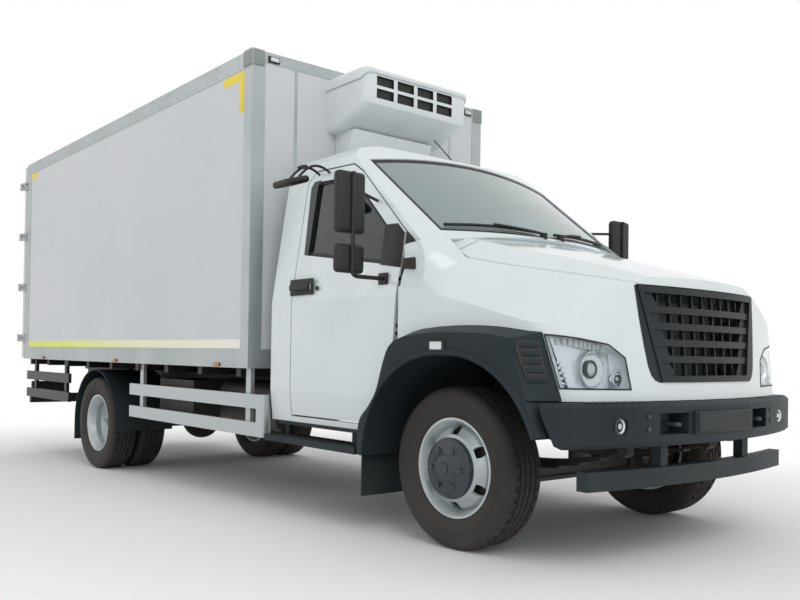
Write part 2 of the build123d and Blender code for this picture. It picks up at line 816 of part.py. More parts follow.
def grille():
    rim = front_prism(grille_outline, (500, 1300))
    hole = front_prism(inset_outline(grille_outline, grille_rim), (500, 1300))
    low, high = grille_outline[2][1] + grille_rim, grille_outline[0][1] - grille_rim
    pitch = (high - low) / grille_rows
    slats = Part()
    cheeks = Part()
    for i in range(grille_rows):
        foot = low + pitch * i
        head = foot + pitch
        if i:
            slats += block((500, 1300), (-700, 700), (foot - grille_slat / 2, foot + grille_slat / 2))
        outline = [(grille_edge(head), head), (grille_edge(head) - grille_rim - cheek_width[0], head),
                   (grille_edge(foot) - grille_rim - cheek_width[1], foot), (grille_edge(foot), foot)]
        cheeks += both(front_prism(outline, (500, 1300)))
    count = int(grille_edge(high) / upright_pitch)
    uprights = Part() + [
        block((500, 1300), (i * upright_pitch - 6, i * upright_pitch + 6), (low, high)) for i in range(-count, count + 1)
    ]
    frame = nose_skin(-8, 44) & (rim - hole)
    frame += nose_skin(0, 34) & (slats & rim)
    frame += nose_skin(10, 44) & (cheeks & rim)
    return frame + (nose_skin(24, 44) & (uprights & rim))


# Bumper in plan, and the slanted line of its ends in side view
bumper_outer = [(650, 1122), (700, 1122), (745, 1098), (785, 1035)]
bumper_inner = [(650, 1075), (690, 1068), (712, 1010)]
bumper_end = [(560, 840), (657, 840), (757, 577), (560, 577)]
bumper_depth = 120.0
hook_opening = ((305.0, 515.0), (645.0, 745.0))
fog_lamp = (850.0, 760.0, 690.0)
fog_radius = 40.0


def bumper():
    def run(points):
        return [Line((*a, bumper_bottom), (*b, bumper_bottom)) for a, b in zip(points, points[1:])]

    def bow(end, front):
        return ThreePointArc((*end, bumper_bottom), (front, 0, bumper_bottom), (end[0], -end[1], bumper_bottom))

    edges = run(bumper_outer) + run(bumper_inner) + run([bumper_inner[0], bumper_outer[0]])
    arcs = [bow(bumper_outer[-1], bumper_front), bow(bumper_inner[-1], bumper_front - bumper_depth)]
    face = make_face(edges + [mirrored(edge) for edge in edges] + arcs)
    shell = extrude(face, amount=bumper_top - bumper_bottom, dir=(0, 0, 1))
    rims = [edge for level in (0, -1) for edge in shell.edges().group_by(Axis.Z)[level]]
    spots = [(edge, edge.center()) for edge in rims]
    outer = [edge for edge, spot in spots if spot.X + abs(spot.Y) > 1780 or spot.X > bumper_front - 40]
    shell = chamfer(outer, bumper_edge)
    shell -= side_prism(bumper_end, (-big / 2, big / 2))
    face_x, fog_y, fog_z = fog_lamp
    for side in (-1, 1):
        shell -= block((600, 1000), [side * y for y in hook_opening[0]], hook_opening[1])
        shell -= rod((face_x - 30, 1000), side * fog_y, fog_z, fog_radius + 2)
        shell += rod((face_x - 30, face_x), side * fog_y, fog_z, fog_radius)
        bracket = (side * (bracket_y - 35), side * (bracket_y + 35))
        shell += block((frame_nose, 850), bracket, (bumper_bottom + 20, rail_top - 20))
    return shell + block((850, plate_face), (-plate_half, plate_half), plate_levels)


step_level = 439.0
step_thickness = 90.0
step_end = (730.0, 790.0, 912.0)
step_front = 880.0


def step_bar():
    rear, front, reach = step_end
    depth = front - rear
    arcs = [ThreePointArc((x, reach, step_level), (x + step_front - front, 0, step_level), (x, -reach, step_level)) for x in (rear, front)]
    ends = [Line((rear, y, step_level), (front, y, step_level)) for y in (-reach, reach)]
    step = extrude(make_face(arcs + ends), amount=step_thickness / 2, dir=(0, 0, 1), both=True)
    for y in (-bracket_y, bracket_y):
        step += block((step_front - depth - 20, 850), (y - 30, y + 30), (step_level, bumper_bottom))
    return step


flare_outline = [
    # base x, base z at the wing, outer x, outer z at the lip
    (-600, 440, -585, 440),
    (-615, 610, -575, 600),
    (-560, 700, -495, 700),
    (-448, 800, -420, 800),
    (-428, 900, -380, 905),
    (-366, 1090, -335, 1062),
    (-235, 1165, -215, 1118),
    (175, 1190, 175, 1145),
    (430, 1178, 400, 1136),
    (602, 1150, 490, 1122),
    (684, 859, 590, 859),
    (698, bumper_top + 4, 610, bumper_top + 4),
    (666, bumper_top + 4, 606, bumper_top + 4),
    (724, 642, 690, 642),
    (560, 442, 560, 442),
]
flare_wedge = [(430, 1178), (602, 1150), (684, 859), (698, bumper_top + 4), (540, bumper_top + 4), (430, 1000)]


def arch_flare(side):
    base_y, lip_y = side * cab_half_width, side * (cab_half_width + flare_reach)
    base = make_face(Polyline(*[(bx, base_y, bz) for bx, bz, _, _ in flare_outline], close=True))
    lip = make_face(Polyline(*[(lx, lip_y, lz) for _, _, lx, lz in flare_outline], close=True))
    flare = loft([base, lip], ruled=True)
    lip_face = flare.faces().sort_by(Axis.Y)[-1 if side > 0 else 0]
    flare = fillet([edge for edge in lip_face.edges() if edge.center().Z > 1000], flare_round)
    flare += side_prism(flare_wedge, (side * (cab_half_width - 120), base_y)) - nose_form(-seat_gap)
    flare -= block((arch_centres[0], big), (-big, big), (0, 642))
    liner_y = (side * liner_inner, side * (cab_half_width + 20))
    flare += arch_space(liner_y, liner) & block((-big, 620), (-big, big), (bumper_top - 40, big))
    flare += block((-602, -592), (side * 780, side * 1090), (200, 520))
    return flare - arch_space((-big, big), 0)


def side_steps():
    sill = block((-1560, -665), (960, 1020), (538, cab_bottom))
    tread = block((-1590, -640), (930, 1110), (430, 470))
    for x in (-1500, -800):
        tread += block((x, x + 40), (965, 1000), (470, 538))
    return both(sill + tread)


def dashboard():
    profile = [(bulkhead_x, 1120), (bulkhead_x, 1490), (-520, 1520), (-680, 1470), (-700, 1330), (-560, 1120)]
    dash = side_prism(profile, (-880, 880))
    column = Plane((-700, 400, 1400), z_dir=(-0.62, 0, 0.78))
    dash += column * (Pos(0, 0, 60) * Cylinder(28, 260))
    dash += column * (Pos(0, 0, 190) * Torus(wheel_ring, 16))
    dash += column * (Pos(0, 0, 190) * Cylinder(45, 40))
    for angle in (0, 120, 240):
        dash += column * (Pos(0, 0, 190) * Rot(0, 0, angle) * Pos(105, 0, 0) * Box(200, 34, 14))
    return dash


def seats():
    """A driver's seat and a double seat; each row gives its middle across and its half width."""
    cushions = Part()
    rear, front = cushion_length
    low = cushion_top - 50
    backrest = [(rear, low), (rear + 150, low), (rear + 20, backrest_top), (rear - 100, backrest_top)]
    for y, half in seat_rows:
        cushions += block((rear, front), (y - half, y + half), (floor_top, cushion_top))
        cushions += side_prism(backrest, (y - half, y + half))
    return cushions


def box_floor():
    floor = block((portal_front, box_front), (-box_half, box_half), (box_bottom, wall_foot))
    inner = box_half - side_wall - seat_gap
    floor += block((portal_front, box_front - front_wall - seat_gap), (-inner, inner), (wall_foot, load_floor))
    for i in range(bearer_count):
        x = box_front - 200 - i * bearer_pitch
        floor += block((x, x + bearer_size), (-box_half + 30, box_half - 30), (box_bottom - bearer_size, box_bottom))
    for y in (-bracket_y, bracket_y):
        floor += block((portal_front, box_front), (y - 37, y + 37), (rail_top, box_bottom))
    return floor


def box_front_wall():
    return block((box_front - front_wall, box_front), (-box_half + side_wall, box_half - side_wall), (wall_foot, load_ceiling))


def box_side(side):
    return block((portal_front, box_front), (side * (box_half - side_wall), side * box_half), (wall_foot, load_ceiling))


def box_roof():
    return block((portal_front, box_front), (-box_half, box_half), (load_ceiling, box_top))


rear_pin = (box_rear - 30.0, box_half + trim + 25.0)
rear_hinges = [box_bottom + 230, box_bottom + 800, box_bottom + 1370, box_bottom + 1940]


def rear_portal():
    portal = block((portal_rear, portal_front), (-box_half, box_half), (box_bottom, box_top))
    portal -= block((portal_rear, portal_front), (-box_half + side_wall, box_half - side_wall), (load_floor, load_ceiling))
    x, y = rear_pin
    for side in (-1, 1):
        for z in rear_hinges:
            for low in (z - 40, z + 18):
                leaf = [(portal_front, box_half), (portal_front, box_half + 12), (x + 14, y + 4), (x + 4, y + 14),
                        (x - 14, y + 4), (x - 4, y - 14), (x + 60, box_half + 4), (portal_rear, box_half)]
                portal += plan_prism([(px, side * py) for px, py in leaf], (low, low + 22))
            portal += post(x, side * y, (z - 40, z + 40), 8)
    return portal


def rear_door_panel(side):
    width = (side * 4, side * (box_half - 6))
    door = block((box_rear, box_rear + rear_door), width, (box_bottom + 12, box_top - 12))
    x, y = rear_pin
    for z in rear_hinges:
        strap = [(box_rear, box_half - 180), (box_rear - 8, box_half - 180), (box_rear - 8, box_half - 40), (x - 12, y - 10),
                 (x, y + 14), (x + 14, y), (x + 6, y - 14), (box_rear, box_half - 20)]
        leaf = plan_prism([(px, side * py) for px, py in strap], (z - 17, z + 17))
        door += leaf - post(x, side * y, (z - 60, z + 60), 8 + running_fit)
    return door


def lock_rod(side):
    y = side * 190.0
    x = box_rear - 24
    gear = post(x, y, (box_bottom + 20, box_top - 20), 14)
    for z in (box_bottom + 60, box_bottom + 700, box_bottom + 1400, box_top - 60):
        gear += block((x - 12, box_rear), (y - 40, y + 40), (z - 35, z + 35))
    gear += block((x - 16, x - 4), (y, y + side * 330), (box_bottom + 420, box_bottom + 450))
    gear += block((x - 16, box_rear), (y + side * 300, y + side * 350), (box_bottom + 405, box_bottom + 465))
    return gear


def edge_trim():
    """Angle profiles along the box's edges, one thickness proud of the panels."""
    tail = portal_front
    nose = box_front + trim
    side = (box_half, box_half + trim)
    plates = [
        # along, across, up
        ((tail, nose), side, (box_top - top_rail, box_top + trim)),
        ((tail, nose), (box_half - top_rail, box_half + trim), (box_top, box_top + trim)),
        ((tail, nose), side, (box_bottom, box_bottom + bottom_rail)),
        ((box_front - corner_post, nose), side, (box_bottom, box_top + trim)),
        ((box_front, nose), (box_half - corner_post, box_half + trim), (box_bottom, box_top + trim)),
        ((tail, tail + corner_post), side, (box_bottom, box_top + trim)),
        ((box_front, nose), (0, box_half + trim), (box_top - 70, box_top + trim)),
        ((box_front, nose), (0, box_half + trim), (box_bottom, box_bottom + bottom_rail)),
    ]
    angle = Part() + [block(*plate) for plate in plates]
    cap = block((box_front - 110, nose + 6), (box_half - 90, box_half + trim + 6), (box_top - 100, box_top + trim + 6))
    cap = fillet(cap.edges().filter_by(GeomType.LINE).group_by(Axis.X)[-1], 5)
    angle += cap - block((-big, box_front), (0, box_half), (0, box_top))
    return angle + mirrored(angle)


def unit_outline(inset):
    front = box_front + unit_depth - inset
    return [(box_front, unit_bottom + inset), (box_front + 110, unit_bottom + inset), (front, unit_bottom + 120 + inset / 2),
            (front, unit_top - 90), (front - 90, unit_top - inset), (box_front, unit_top - inset)]


def unit_form(inset, rounding):
    half = unit_half_width - inset
    form = side_prism(unit_outline(inset), (-half, half))
    ends = form.faces().sort_by(Axis.Y)
    edges = [edge for end in (ends[0], ends[-1]) for edge in end.edges() if edge.bounding_box().max.X > box_front + 1]
    return fillet(edges, rounding)


duct_outline = [(box_front, 2440), (box_front + 170, 2440), (box_front + 230, unit_bottom + 10), (box_front, unit_bottom + 10)]
duct_span = (-410.0, 350.0)


def cooling_unit():
    housing = unit_form(0, unit_round) - unit_form(unit_wall, unit_round - unit_wall)
    front = box_front + unit_depth
    for row in range(2):
        for column in range(4):
            y = -390 + column * 200
            z = unit_bottom + 155 + row * 110
            housing -= block((front - 60, front + 20), (y, y + 170), (z, z + 85))
    return housing + side_prism(duct_outline, duct_span)


def cooling_core():
    half = unit_half_width - unit_wall - seat_gap
    core = block((box_front, box_front + unit_depth - 130), (-half, half), (unit_bottom + 130, unit_top - 110))
    return core


def side_guard():
    y = box_half - 20
    guard = Part()
    tail, front = guard_front
    foot, head = guard_levels[0], guard_levels[1] + guard_rail
    nose = block((front, front + 70), (y - 90, y), (foot, head))
    guard += fillet(nose.edges().filter_by(Axis.Z).sort_by(Axis.X)[-2:], 40)
    for low in guard_levels:
        guard += block(guard_front, (y - 30, y), (low, low + guard_rail))
        guard += block(guard_rear, (y - 30, y), (low + guard_lift, low + guard_lift + guard_rail))
    for x in (tail + 150, front - 180):
        guard += block((x, x + 60), (y - 60, y - 30), (foot, box_bottom))
    for x in (guard_rear[0] + 170, guard_rear[1] - 200):
        guard += block((x, x + 60), (y - 60, y - 30), (foot + guard_lift, box_bottom))
    return both(guard)


def rear_mudguards():
    radius = tyre_radius + 75
    y = (rear_track / 2 - 280, rear_track / 2 + 270)
    guard = bar(rear_axle_x, y, rear_axle_z, radius) - bar(rear_axle_x, y, rear_axle_z, radius - 6)
    guard &= block((-big, big), (0, big), (rear_axle_z, big))
    for end, drop in ((-1, 190), (1, 40)):
        skirt = (rear_axle_x + end * (radius - 6), rear_axle_x + end * radius)
        guard += block(skirt, y, (rear_axle_z - drop, rear_axle_z))
    for x in (-160, 160):
        guard += block((rear_axle_x + x - 20, rear_axle_x + x + 20), (y[0] + 120, y[0] + 160), (rear_axle_z + radius - 60, box_bottom))
    guard -= bar(rear_axle_x, y, rear_axle_z, radius - 6)
    return both(guard)


def underrun_bar():
    x = frame_tail - 60
    guard = block((x - 60, x), (-1050, 1050), (400, 500))
    for y in (-bracket_y, bracket_y):
        guard += block((x, frame_tail + 100), (y - 37 , y + 37), (420, rail_bottom))
    for side in (-1, 1):
        guard += block((x - 40, x), (side * 640, side * 1040), (500, 640))
    return guard


def fuel_tank():
    tank = block(*fuel_tank_size)
    tank = fillet(tank.edges().filter_by(Axis.X), fuel_tank_round)
    for x in (-2850, -2400):
        tank += block((x, x + 60), (rail_outer, fuel_tank_size[1][0] + 20), (600, 700))
    return tank


def air_tanks():
    tanks = Part()
    for z in air_tank_levels:
        tanks += rod(air_tank_length, -690, z, air_tank_radius)
    for x in (-2600, -2150):
        tanks += block((x, x + 50), (-650, -rail_outer), (560, 660))
    tanks += block(*battery_box)
    tanks += block((-3240, -3180), (-560, -rail_outer), (600, 700))
    return tanks


def marker_lamps():
    lamps = Part()
    for x in marker_stations:
        lamps += block((x - 45, x + 45), (box_half + trim, box_half + trim + 14), (box_bottom + 6, box_bottom + 32))
    lamps += block((box_front + trim, box_front + trim + 20), (box_half - 210, box_half - 120), (box_top - 62, box_top - 8))
    return both(lamps)


nodes = {
    "ladder_frame": lambda: frame_rails() + frame_members(),
    "front_axle": front_axle,
    "leaf_springs": leaf_springs,
    "rear_axle": rear_axle,
    "engine_block": engine_block,
    "propeller_shaft": propeller_shaft,
    "radiator": radiator,
    "tanks": lambda: fuel_tank() + air_tanks(),
    "underrun_bar": underrun_bar,
    "knuckle_right": lambda: mirrored(knuckle()),
    "knuckle_left": knuckle,
    "tie_rod": tie_rod,
    "front_rim_right": lambda: front_rim(-1) + hub_cap(-1),
    "front_rim_left": lambda: front_rim(1) + hub_cap(1),
    "front_tyre_right": lambda: front_tyre(-1),
    "front_tyre_left": lambda: front_tyre(1),
    "rear_rims_right": lambda: twin_rims(-1),
    "rear_rims_left": lambda: twin_rims(1),
    "rear_tyres_right": lambda: twin_tyres(-1),
    "rear_tyres_left": lambda: twin_tyres(1),
    "cab_floor": cab_floor,
    "cab_pillars": cab_pillars,
    "cab_back_wall": cab_back_wall,
    "cab_roof": cab_roof,
    "windscreen": windscreen,
    "door_right": lambda: cab_door(-1),
    "door_left": lambda: cab_door(1),
    "door_glass_right": lambda: door_glass(-1),
    "door_glass_left": lambda: door_glass(1),
    "mirrors_right": lambda: mirrored(mirror_set()),
    "mirrors_left": mirror_set,
    "bonnet": bonnet,
    "cowl_panel": cowl_panel,
    "front_wings": front_wings,
    "headlamps": headlamps,
    "grille": grille,
    "bumper": bumper,
    "step_bar": step_bar,
    "arch_flares": lambda: Part() + [arch_flare(1), arch_flare(-1)],
    "side_steps": side_steps,
    "dashboard": dashboard,
    "seats": seats,
    "box_floor": box_floor,
    "box_front_wall": box_front_wall,
    "box_sides": lambda: box_side(1) + box_side(-1),
    "box_roof": box_roof,
    "rear_portal": rear_portal,
    "rear_door_right": lambda: rear_door_panel(-1) + lock_rod(-1),
    "rear_door_left": lambda: rear_door_panel(1) + lock_rod(1),
    "edge_trim": edge_trim,
    "cooling_unit": cooling_unit,
    "cooling_core": cooling_core,
    "side_guards": side_guard,
    "rear_mudguards": rear_mudguards,
    "marker_lamps": marker_lamps,
}

os.makedirs("parts", exist_ok=True)
tip = Pos(0, 0, tyre_radius) * Rot(0, rake, 0) * Pos(0, 0, -tyre_radius)
tipped = {name: tip * make() for name, make in nodes.items()}
boxes = [solid.bounding_box() for solid in tipped.values()]
mid_length = (min(box.min.X for box in boxes) + max(box.max.X for box in boxes)) / 2
for name, solid in tipped.items():
    export_step(Pos(-mid_length, 0, 0) * solid, f"parts/{name}.step")
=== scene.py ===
import json
import math
import bmesh
import bpy
from mathutils import Matrix, Vector
from mathutils.bvhtree import BVHTree


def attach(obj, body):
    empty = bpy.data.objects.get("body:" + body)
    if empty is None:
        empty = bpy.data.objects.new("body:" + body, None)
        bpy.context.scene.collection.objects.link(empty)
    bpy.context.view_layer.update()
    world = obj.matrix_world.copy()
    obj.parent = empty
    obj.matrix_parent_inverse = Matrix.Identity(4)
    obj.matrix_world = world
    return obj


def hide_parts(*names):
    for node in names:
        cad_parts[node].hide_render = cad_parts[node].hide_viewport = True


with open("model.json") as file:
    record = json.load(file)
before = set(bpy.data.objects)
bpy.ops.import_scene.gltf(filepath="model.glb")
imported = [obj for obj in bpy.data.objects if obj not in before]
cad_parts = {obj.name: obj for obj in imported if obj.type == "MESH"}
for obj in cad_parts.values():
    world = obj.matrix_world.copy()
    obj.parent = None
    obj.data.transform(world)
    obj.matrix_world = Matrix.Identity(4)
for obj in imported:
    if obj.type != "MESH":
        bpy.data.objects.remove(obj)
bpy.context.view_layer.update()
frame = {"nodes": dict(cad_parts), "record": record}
nodes = frame["nodes"]
scene = bpy.context.scene
jointList = frame["record"]["behaviour"]["joints"]
axleSpot = next(j["pos_m"] for j in jointList if j["name"] == "steer_left")
sides = {"right": -1, "left": 1}

# drawings are in mm from the front axle, level; this puts them on the raked truck in metres
stance = {"tyreRadius": 419.0, "rake": 1.2, "wheelbase": 4515.0, "frontTrack": 1740.0, "rearTrack": 1690.0,
          "twinSpacing": 278.0}
toTruck = (
    Matrix.Translation((axleSpot[0], 0, 0))
    @ Matrix.Translation((0, 0, stance["tyreRadius"] / 1000))
    @ Matrix.Rotation(math.radians(stance["rake"]), 4, "Y")
    @ Matrix.Translation((0, 0, -stance["tyreRadius"] / 1000))
    @ Matrix.Scale(0.001, 4)
)
rearAxleZ = stance["tyreRadius"] - stance["wheelbase"] * math.tan(math.radians(stance["rake"]))
print("frame loaded:", len(nodes), "nodes")


def hexColour(code):
    values = [int(code[i:i + 2], 16) / 255 for i in (1, 3, 5)]
    return tuple(v / 12.92 if v <= 0.04045 else ((v + 0.055) / 1.055) ** 2.4 for v in values) + (1.0,)


def newMaterial(name):
    mat = bpy.data.materials.new(name)
    mat.use_nodes = True
    return mat, mat.node_tree.nodes["Principled BSDF"]


def linkInto(mat, node, links):
    for socket, source in links.items():
        mat.node_tree.links.new(source, node.inputs[socket])


def addNode(mat, kind, settings=None, links=None):
    node = mat.node_tree.nodes.new(kind)
    for key, value in (settings or {}).items():
        if isinstance(key, str) and hasattr(node, key):
            setattr(node, key, value)
        else:
            node.inputs[key].default_value = value
    linkInto(mat, node, links or {})
    return node


def setShader(shader, values):
    for key, value in values.items():
        shader.inputs[key].default_value = value


def setStops(ramp, stops):
    elements = ramp.color_ramp.elements
    while len(elements) < len(stops):
        elements.new(1.0)
    for element, (position, colour) in zip(elements, stops):
        element.position = position
        element.color = hexColour(colour)


mixSocket = {"factor": 0, "first": 6, "second": 7, "result": 2}  # the Mix node's colour sockets
texture = {"grainDetail": 3.0, "cloudDetail": 5.0, "cloud": (0.32, 0.62), "roughSpread": 0.07, "bump": 0.5}


# colour drifts between two tones in broad clouds, a fine grain breaks up the gloss, and dust lies low down
def surface(name, colour, shade, grainMm, bumpMm, rough, cloudMm=450, stretch=(1, 1, 1), dust=None, shader=None):
    mat, base = newMaterial(name)
    spot = addNode(mat, "ShaderNodeTexCoord").outputs["Object"]
    drawn = addNode(mat, "ShaderNodeMapping", {"Scale": stretch}, {"Vector": spot}).outputs["Vector"]
    grain = addNode(mat, "ShaderNodeTexNoise", {"Scale": 1000 / grainMm, "Detail": texture["grainDetail"]},
                    {"Vector": drawn}).outputs["Fac"]
    cloud = addNode(mat, "ShaderNodeTexNoise", {"Scale": 1000 / cloudMm, "Detail": texture["cloudDetail"]},
                    {"Vector": spot}).outputs["Fac"]
    ramp = addNode(mat, "ShaderNodeValToRGB", None, {"Fac": cloud})
    setStops(ramp, list(zip(texture["cloud"], (shade, colour))))
    tone = ramp.outputs["Color"]
    if dust:
        dustColour, dustTop, dustShare = dust
        height = addNode(mat, "ShaderNodeSeparateXYZ", None, {"Vector": spot})
        low = addNode(mat, "ShaderNodeMapRange", {"From Min": dustTop, "From Max": 0.0, "To Max": dustShare},
                      {"Value": height.outputs["Z"]})
        patch = addNode(mat, "ShaderNodeMath", {"operation": "MULTIPLY"}, {0: low.outputs["Result"], 1: cloud})
        dusty = addNode(mat, "ShaderNodeMix", {"data_type": "RGBA", mixSocket["second"]: hexColour(dustColour)},
                        {mixSocket["factor"]: patch.outputs["Value"], mixSocket["first"]: tone})
        tone = dusty.outputs[mixSocket["result"]]
    gloss = addNode(mat, "ShaderNodeMapRange", {"To Min": rough - texture["roughSpread"],
                                                "To Max": rough + texture["roughSpread"]}, {"Value": grain})
    bump = addNode(mat, "ShaderNodeBump", {"Strength": texture["bump"], "Distance": bumpMm / 1000}, {"Height": grain})
    linkInto(mat, base, {"Base Color": tone, "Roughness": gloss.outputs["Result"], "Normal": bump.outputs["Normal"]})
    setShader(base, shader or {})
    return mat


# sprayed two-pack enamel: a hard gloss coat, and a little road film low down
cabEnamel = surface("sprayedEnamelWhite", "#DFE7E9", "#DAE3E5", grainMm=60, bumpMm=0.006, rough=0.24,
                    dust=("#A9A79C", 1.1, 0.35), shader={"Coat Weight": 0.6, "Coat Roughness": 0.06})
# rolled glass-fibre facing of the box: flat, faintly rippled, half matt
boxFacing = surface("glassFibreFacing", "#D3D6D9", "#CDD1D4", grainMm=60, bumpMm=0.25, rough=0.4, cloudMm=1400)
# moulded polypropylene of bumper and flares: slate grey with a leathery grain, drawn coarse enough to show
slatePlastic = surface("mouldedPolypropyleneSlate", "#232D32", "#1D262B", grainMm=7, bumpMm=0.5, rough=0.5,
                       dust=("#8C8A80", 0.9, 0.15), shader={"Specular IOR Level": 0.2})
# moulded abs of the grille: smoother and darker than the bumper
grilleAbs = surface("mouldedAbsDark", "#1F262A", "#191F23", grainMm=9, bumpMm=0.1, rough=0.42,
                    shader={"Specular IOR Level": 0.25})
# embossed vinyl of the dash and the cab floor: matt dark grey with a pebbled grain
dashVinyl = surface("dashVinyl", "#3B3E41", "#2F3235", grainMm=5, bumpMm=0.4, rough=0.62)
# tyre rubber: nearly black, bloomed brown-grey by dust
tyreRubber = surface("vulcanisedRubber", "#2C2A29", "#211F1E", grainMm=8, bumpMm=0.4, rough=0.78,
                     dust=("#7A7468", 0.9, 0.22))
# silver wheel lacquer over pressed steel: pale grey with a weak metal sheen
wheelLacquer = surface("wheelLacquerSilver", "#C3C9CB", "#AEB6B8", grainMm=6, bumpMm=0.08, rough=0.36, cloudMm=160,
                       shader={"Metallic": 0.3, "Coat Weight": 0.2})
# brushed-on hub paint: blue-black and uneven
hubPaint = surface("hubPaintBlack", "#3A4148", "#2B3136", grainMm=6, bumpMm=0.2, rough=0.42, cloudMm=90)
# anodised extrusion: soft grey metal with fine lines drawn along its length
anodised = surface("anodisedAluminium", "#B5BBBC", "#A8AFB0", grainMm=6, bumpMm=0.05, rough=0.4,
                   stretch=(0.03, 1, 1), shader={"Metallic": 0.7})
# hot-dip zinc: dull bright metal, mottled in small patches
galvanised = surface("galvanisedSteel", "#B3B8B9", "#9AA1A3", grainMm=14, bumpMm=0.08, rough=0.42, cloudMm=40,
                     shader={"Metallic": 0.8})
# brushed chassis enamel: black, half gloss, browned by road dust
chassisEnamel = surface("chassisEnamelBlack", "#1F2022", "#151617", grainMm=9, bumpMm=0.2, rough=0.5,
                        dust=("#6E695E", 1.0, 0.5))
# sand-cast iron: dark grey and gritty
castIron = surface("castIron", "#3A3A3B", "#2E2E2F", grainMm=5, bumpMm=0.6, rough=0.6, shader={"Metallic": 0.5})
# fin stack: narrow upright lines of bare aluminium
finStack = surface("finnedAluminium", "#55585A", "#3C3F41", grainMm=5, bumpMm=1.5, rough=0.5,
                   stretch=(1, 1, 0.02), shader={"Metallic": 0.6})
# moulded caps on the box corners: plain mid grey, half matt
capPlastic = surface("mouldedCapGrey", "#8F9793", "#858D8A", grainMm=9, bumpMm=0.15, rough=0.45)
# gelcoat of the cooling unit: clean white under a thin gloss
gelcoat = surface("gelcoatWhite", "#E2E7E9", "#D8DEE0", grainMm=40, bumpMm=0.05, rough=0.3,
                  shader={"Coat Weight": 0.3, "Coat Roughness": 0.1})
# moulded acrylic lamps: glossy amber, red or clear, with a prismatic ripple
amberLens = surface("amberAcrylic", "#E58A1E", "#D0720C", grainMm=6, bumpMm=0.4, rough=0.18)
redLens = surface("redAcrylic", "#A8161A", "#8C0F13", grainMm=6, bumpMm=0.4, rough=0.18)
clearLamp = surface("prismaticAcrylic", "#E4E8E8", "#C4CACB", grainMm=6, bumpMm=0.5, rough=0.14)
# glass with a fired black edge: smooth and dark
paneBlack = surface("enamelledGlassBlack", "#2B3133", "#252B2D", grainMm=30, bumpMm=0.01, rough=0.34)
# extruded weather strip: black and half matt
blackRubber = surface("weatherStripRubber", "#1B1C1E", "#131415", grainMm=5, bumpMm=0.2, rough=0.55)
# glass prism sheeting: bright yellow
yellowSheet = surface("prismSheetYellow", "#F3D92B", "#EBCB1E", grainMm=12, bumpMm=0.1, rough=0.3)
# metallised bowl: mirror bright
mirrorBowl = surface("metallisedReflector", "#E4E8EA", "#CBD1D4", grainMm=25, bumpMm=0.1, rough=0.12,
                     shader={"Metallic": 1.0})
# lamp housing, silvered by spray: pale and softly bright
lampShell = surface("lampHousingGrey", "#F0F2F3", "#DCE1E4", grainMm=20, bumpMm=0.1, rough=0.2,
                    shader={"Metallic": 0.35})
# woven seat cover: short dark ribs
seatWeave = surface("wovenSeatCover", "#4A4E55", "#3B3F45", grainMm=4, bumpMm=0.8, rough=0.88, stretch=(1, 0.35, 1))


def pane(name, colour, ior=1.5, rough=0.01, clear=1.0):
    mat, shader = newMaterial(name)
    setShader(shader, {"Base Color": hexColour(colour), "Roughness": rough, "Transmission Weight": clear, "IOR": ior})
    return mat


# laminated windscreen: grey-green, with a pale haze over the dim cab that is painted reflection of the sky, an opaque
# share of the glass lit like paint
screenGlass = pane("laminatedGlassPaintedSkyHaze", "#C6D8D8", clear=0.68)
# door glass, tinted in the melt: dark grey and clear
sideGlass = pane("tintedGlass", "#5E6B6C")
# moulded polycarbonate: water clear, bending what is behind it only a little
lensGlass = pane("polycarbonateLens", "#F4F8FA", ior=1.3, rough=0.02)


# retro-reflective band: yellow-green at the tail, fading to near white at the cab end as painted sheen, in fine prism
# cells
def bandMaterial(tailX, frontX, cellMm=14, cellBumpMm=0.2):
    mat, shader = newMaterial("prismSheetPaintedSheen")
    spot = addNode(mat, "ShaderNodeTexCoord").outputs["Object"]
    along = addNode(mat, "ShaderNodeSeparateXYZ", None, {"Vector": spot})
    share = addNode(mat, "ShaderNodeMapRange", {"From Min": tailX, "From Max": frontX}, {"Value": along.outputs["X"]})
    ramp = addNode(mat, "ShaderNodeValToRGB", None, {"Fac": share.outputs["Result"]})
    # the paler stops towards the cab end are painted sheen on one yellow-green tape
    setStops(ramp, [(0, "#DCE62E"), (0.3, "#E6EE5A"), (0.62, "#F0EFC4"), (1, "#F4F3E6")])
    cells = addNode(mat, "ShaderNodeTexVoronoi", {"Scale": 1000 / cellMm}, {"Vector": spot})
    bump = addNode(mat, "ShaderNodeBump", {"Strength": 0.2, "Distance": cellBumpMm / 1000},
                   {"Height": cells.outputs["Distance"]})
    linkInto(mat, shader, {"Base Color": ramp.outputs["Color"], "Normal": bump.outputs["Normal"]})
    setShader(shader, {"Roughness": 0.3})
    return mat


# guard rails: bare aluminium ahead of the rear axle, black paint behind it
def guardMaterial(splitX, grainMm=9, bareMetal=0.7):
    mat, shader = newMaterial("guardRailPaintAndAluminium")
    spot = addNode(mat, "ShaderNodeTexCoord").outputs["Object"]
    along = addNode(mat, "ShaderNodeSeparateXYZ", None, {"Vector": spot})
    ahead = addNode(mat, "ShaderNodeMath", {"operation": "GREATER_THAN", 1: splitX},
                    {0: along.outputs["X"]}).outputs["Value"]
    grain = addNode(mat, "ShaderNodeTexNoise", {"Scale": 1000 / grainMm}, {"Vector": spot})
    ramp = addNode(mat, "ShaderNodeValToRGB", None, {"Fac": ahead})
    ramp.color_ramp.interpolation = "CONSTANT"
    setStops(ramp, [(0, "#202123"), (0.5, "#B9BEC0")])
    shine = addNode(mat, "ShaderNodeMath", {"operation": "MULTIPLY", 1: bareMetal}, {0: ahead})
    rough = addNode(mat, "ShaderNodeMapRange", {"To Min": 0.34, "To Max": 0.5}, {"Value": grain.outputs["Fac"]})
    linkInto(mat, shader, {"Base Color": ramp.outputs["Color"], "Metallic": shine.outputs["Value"],
                           "Roughness": rough.outputs["Result"]})
    return mat


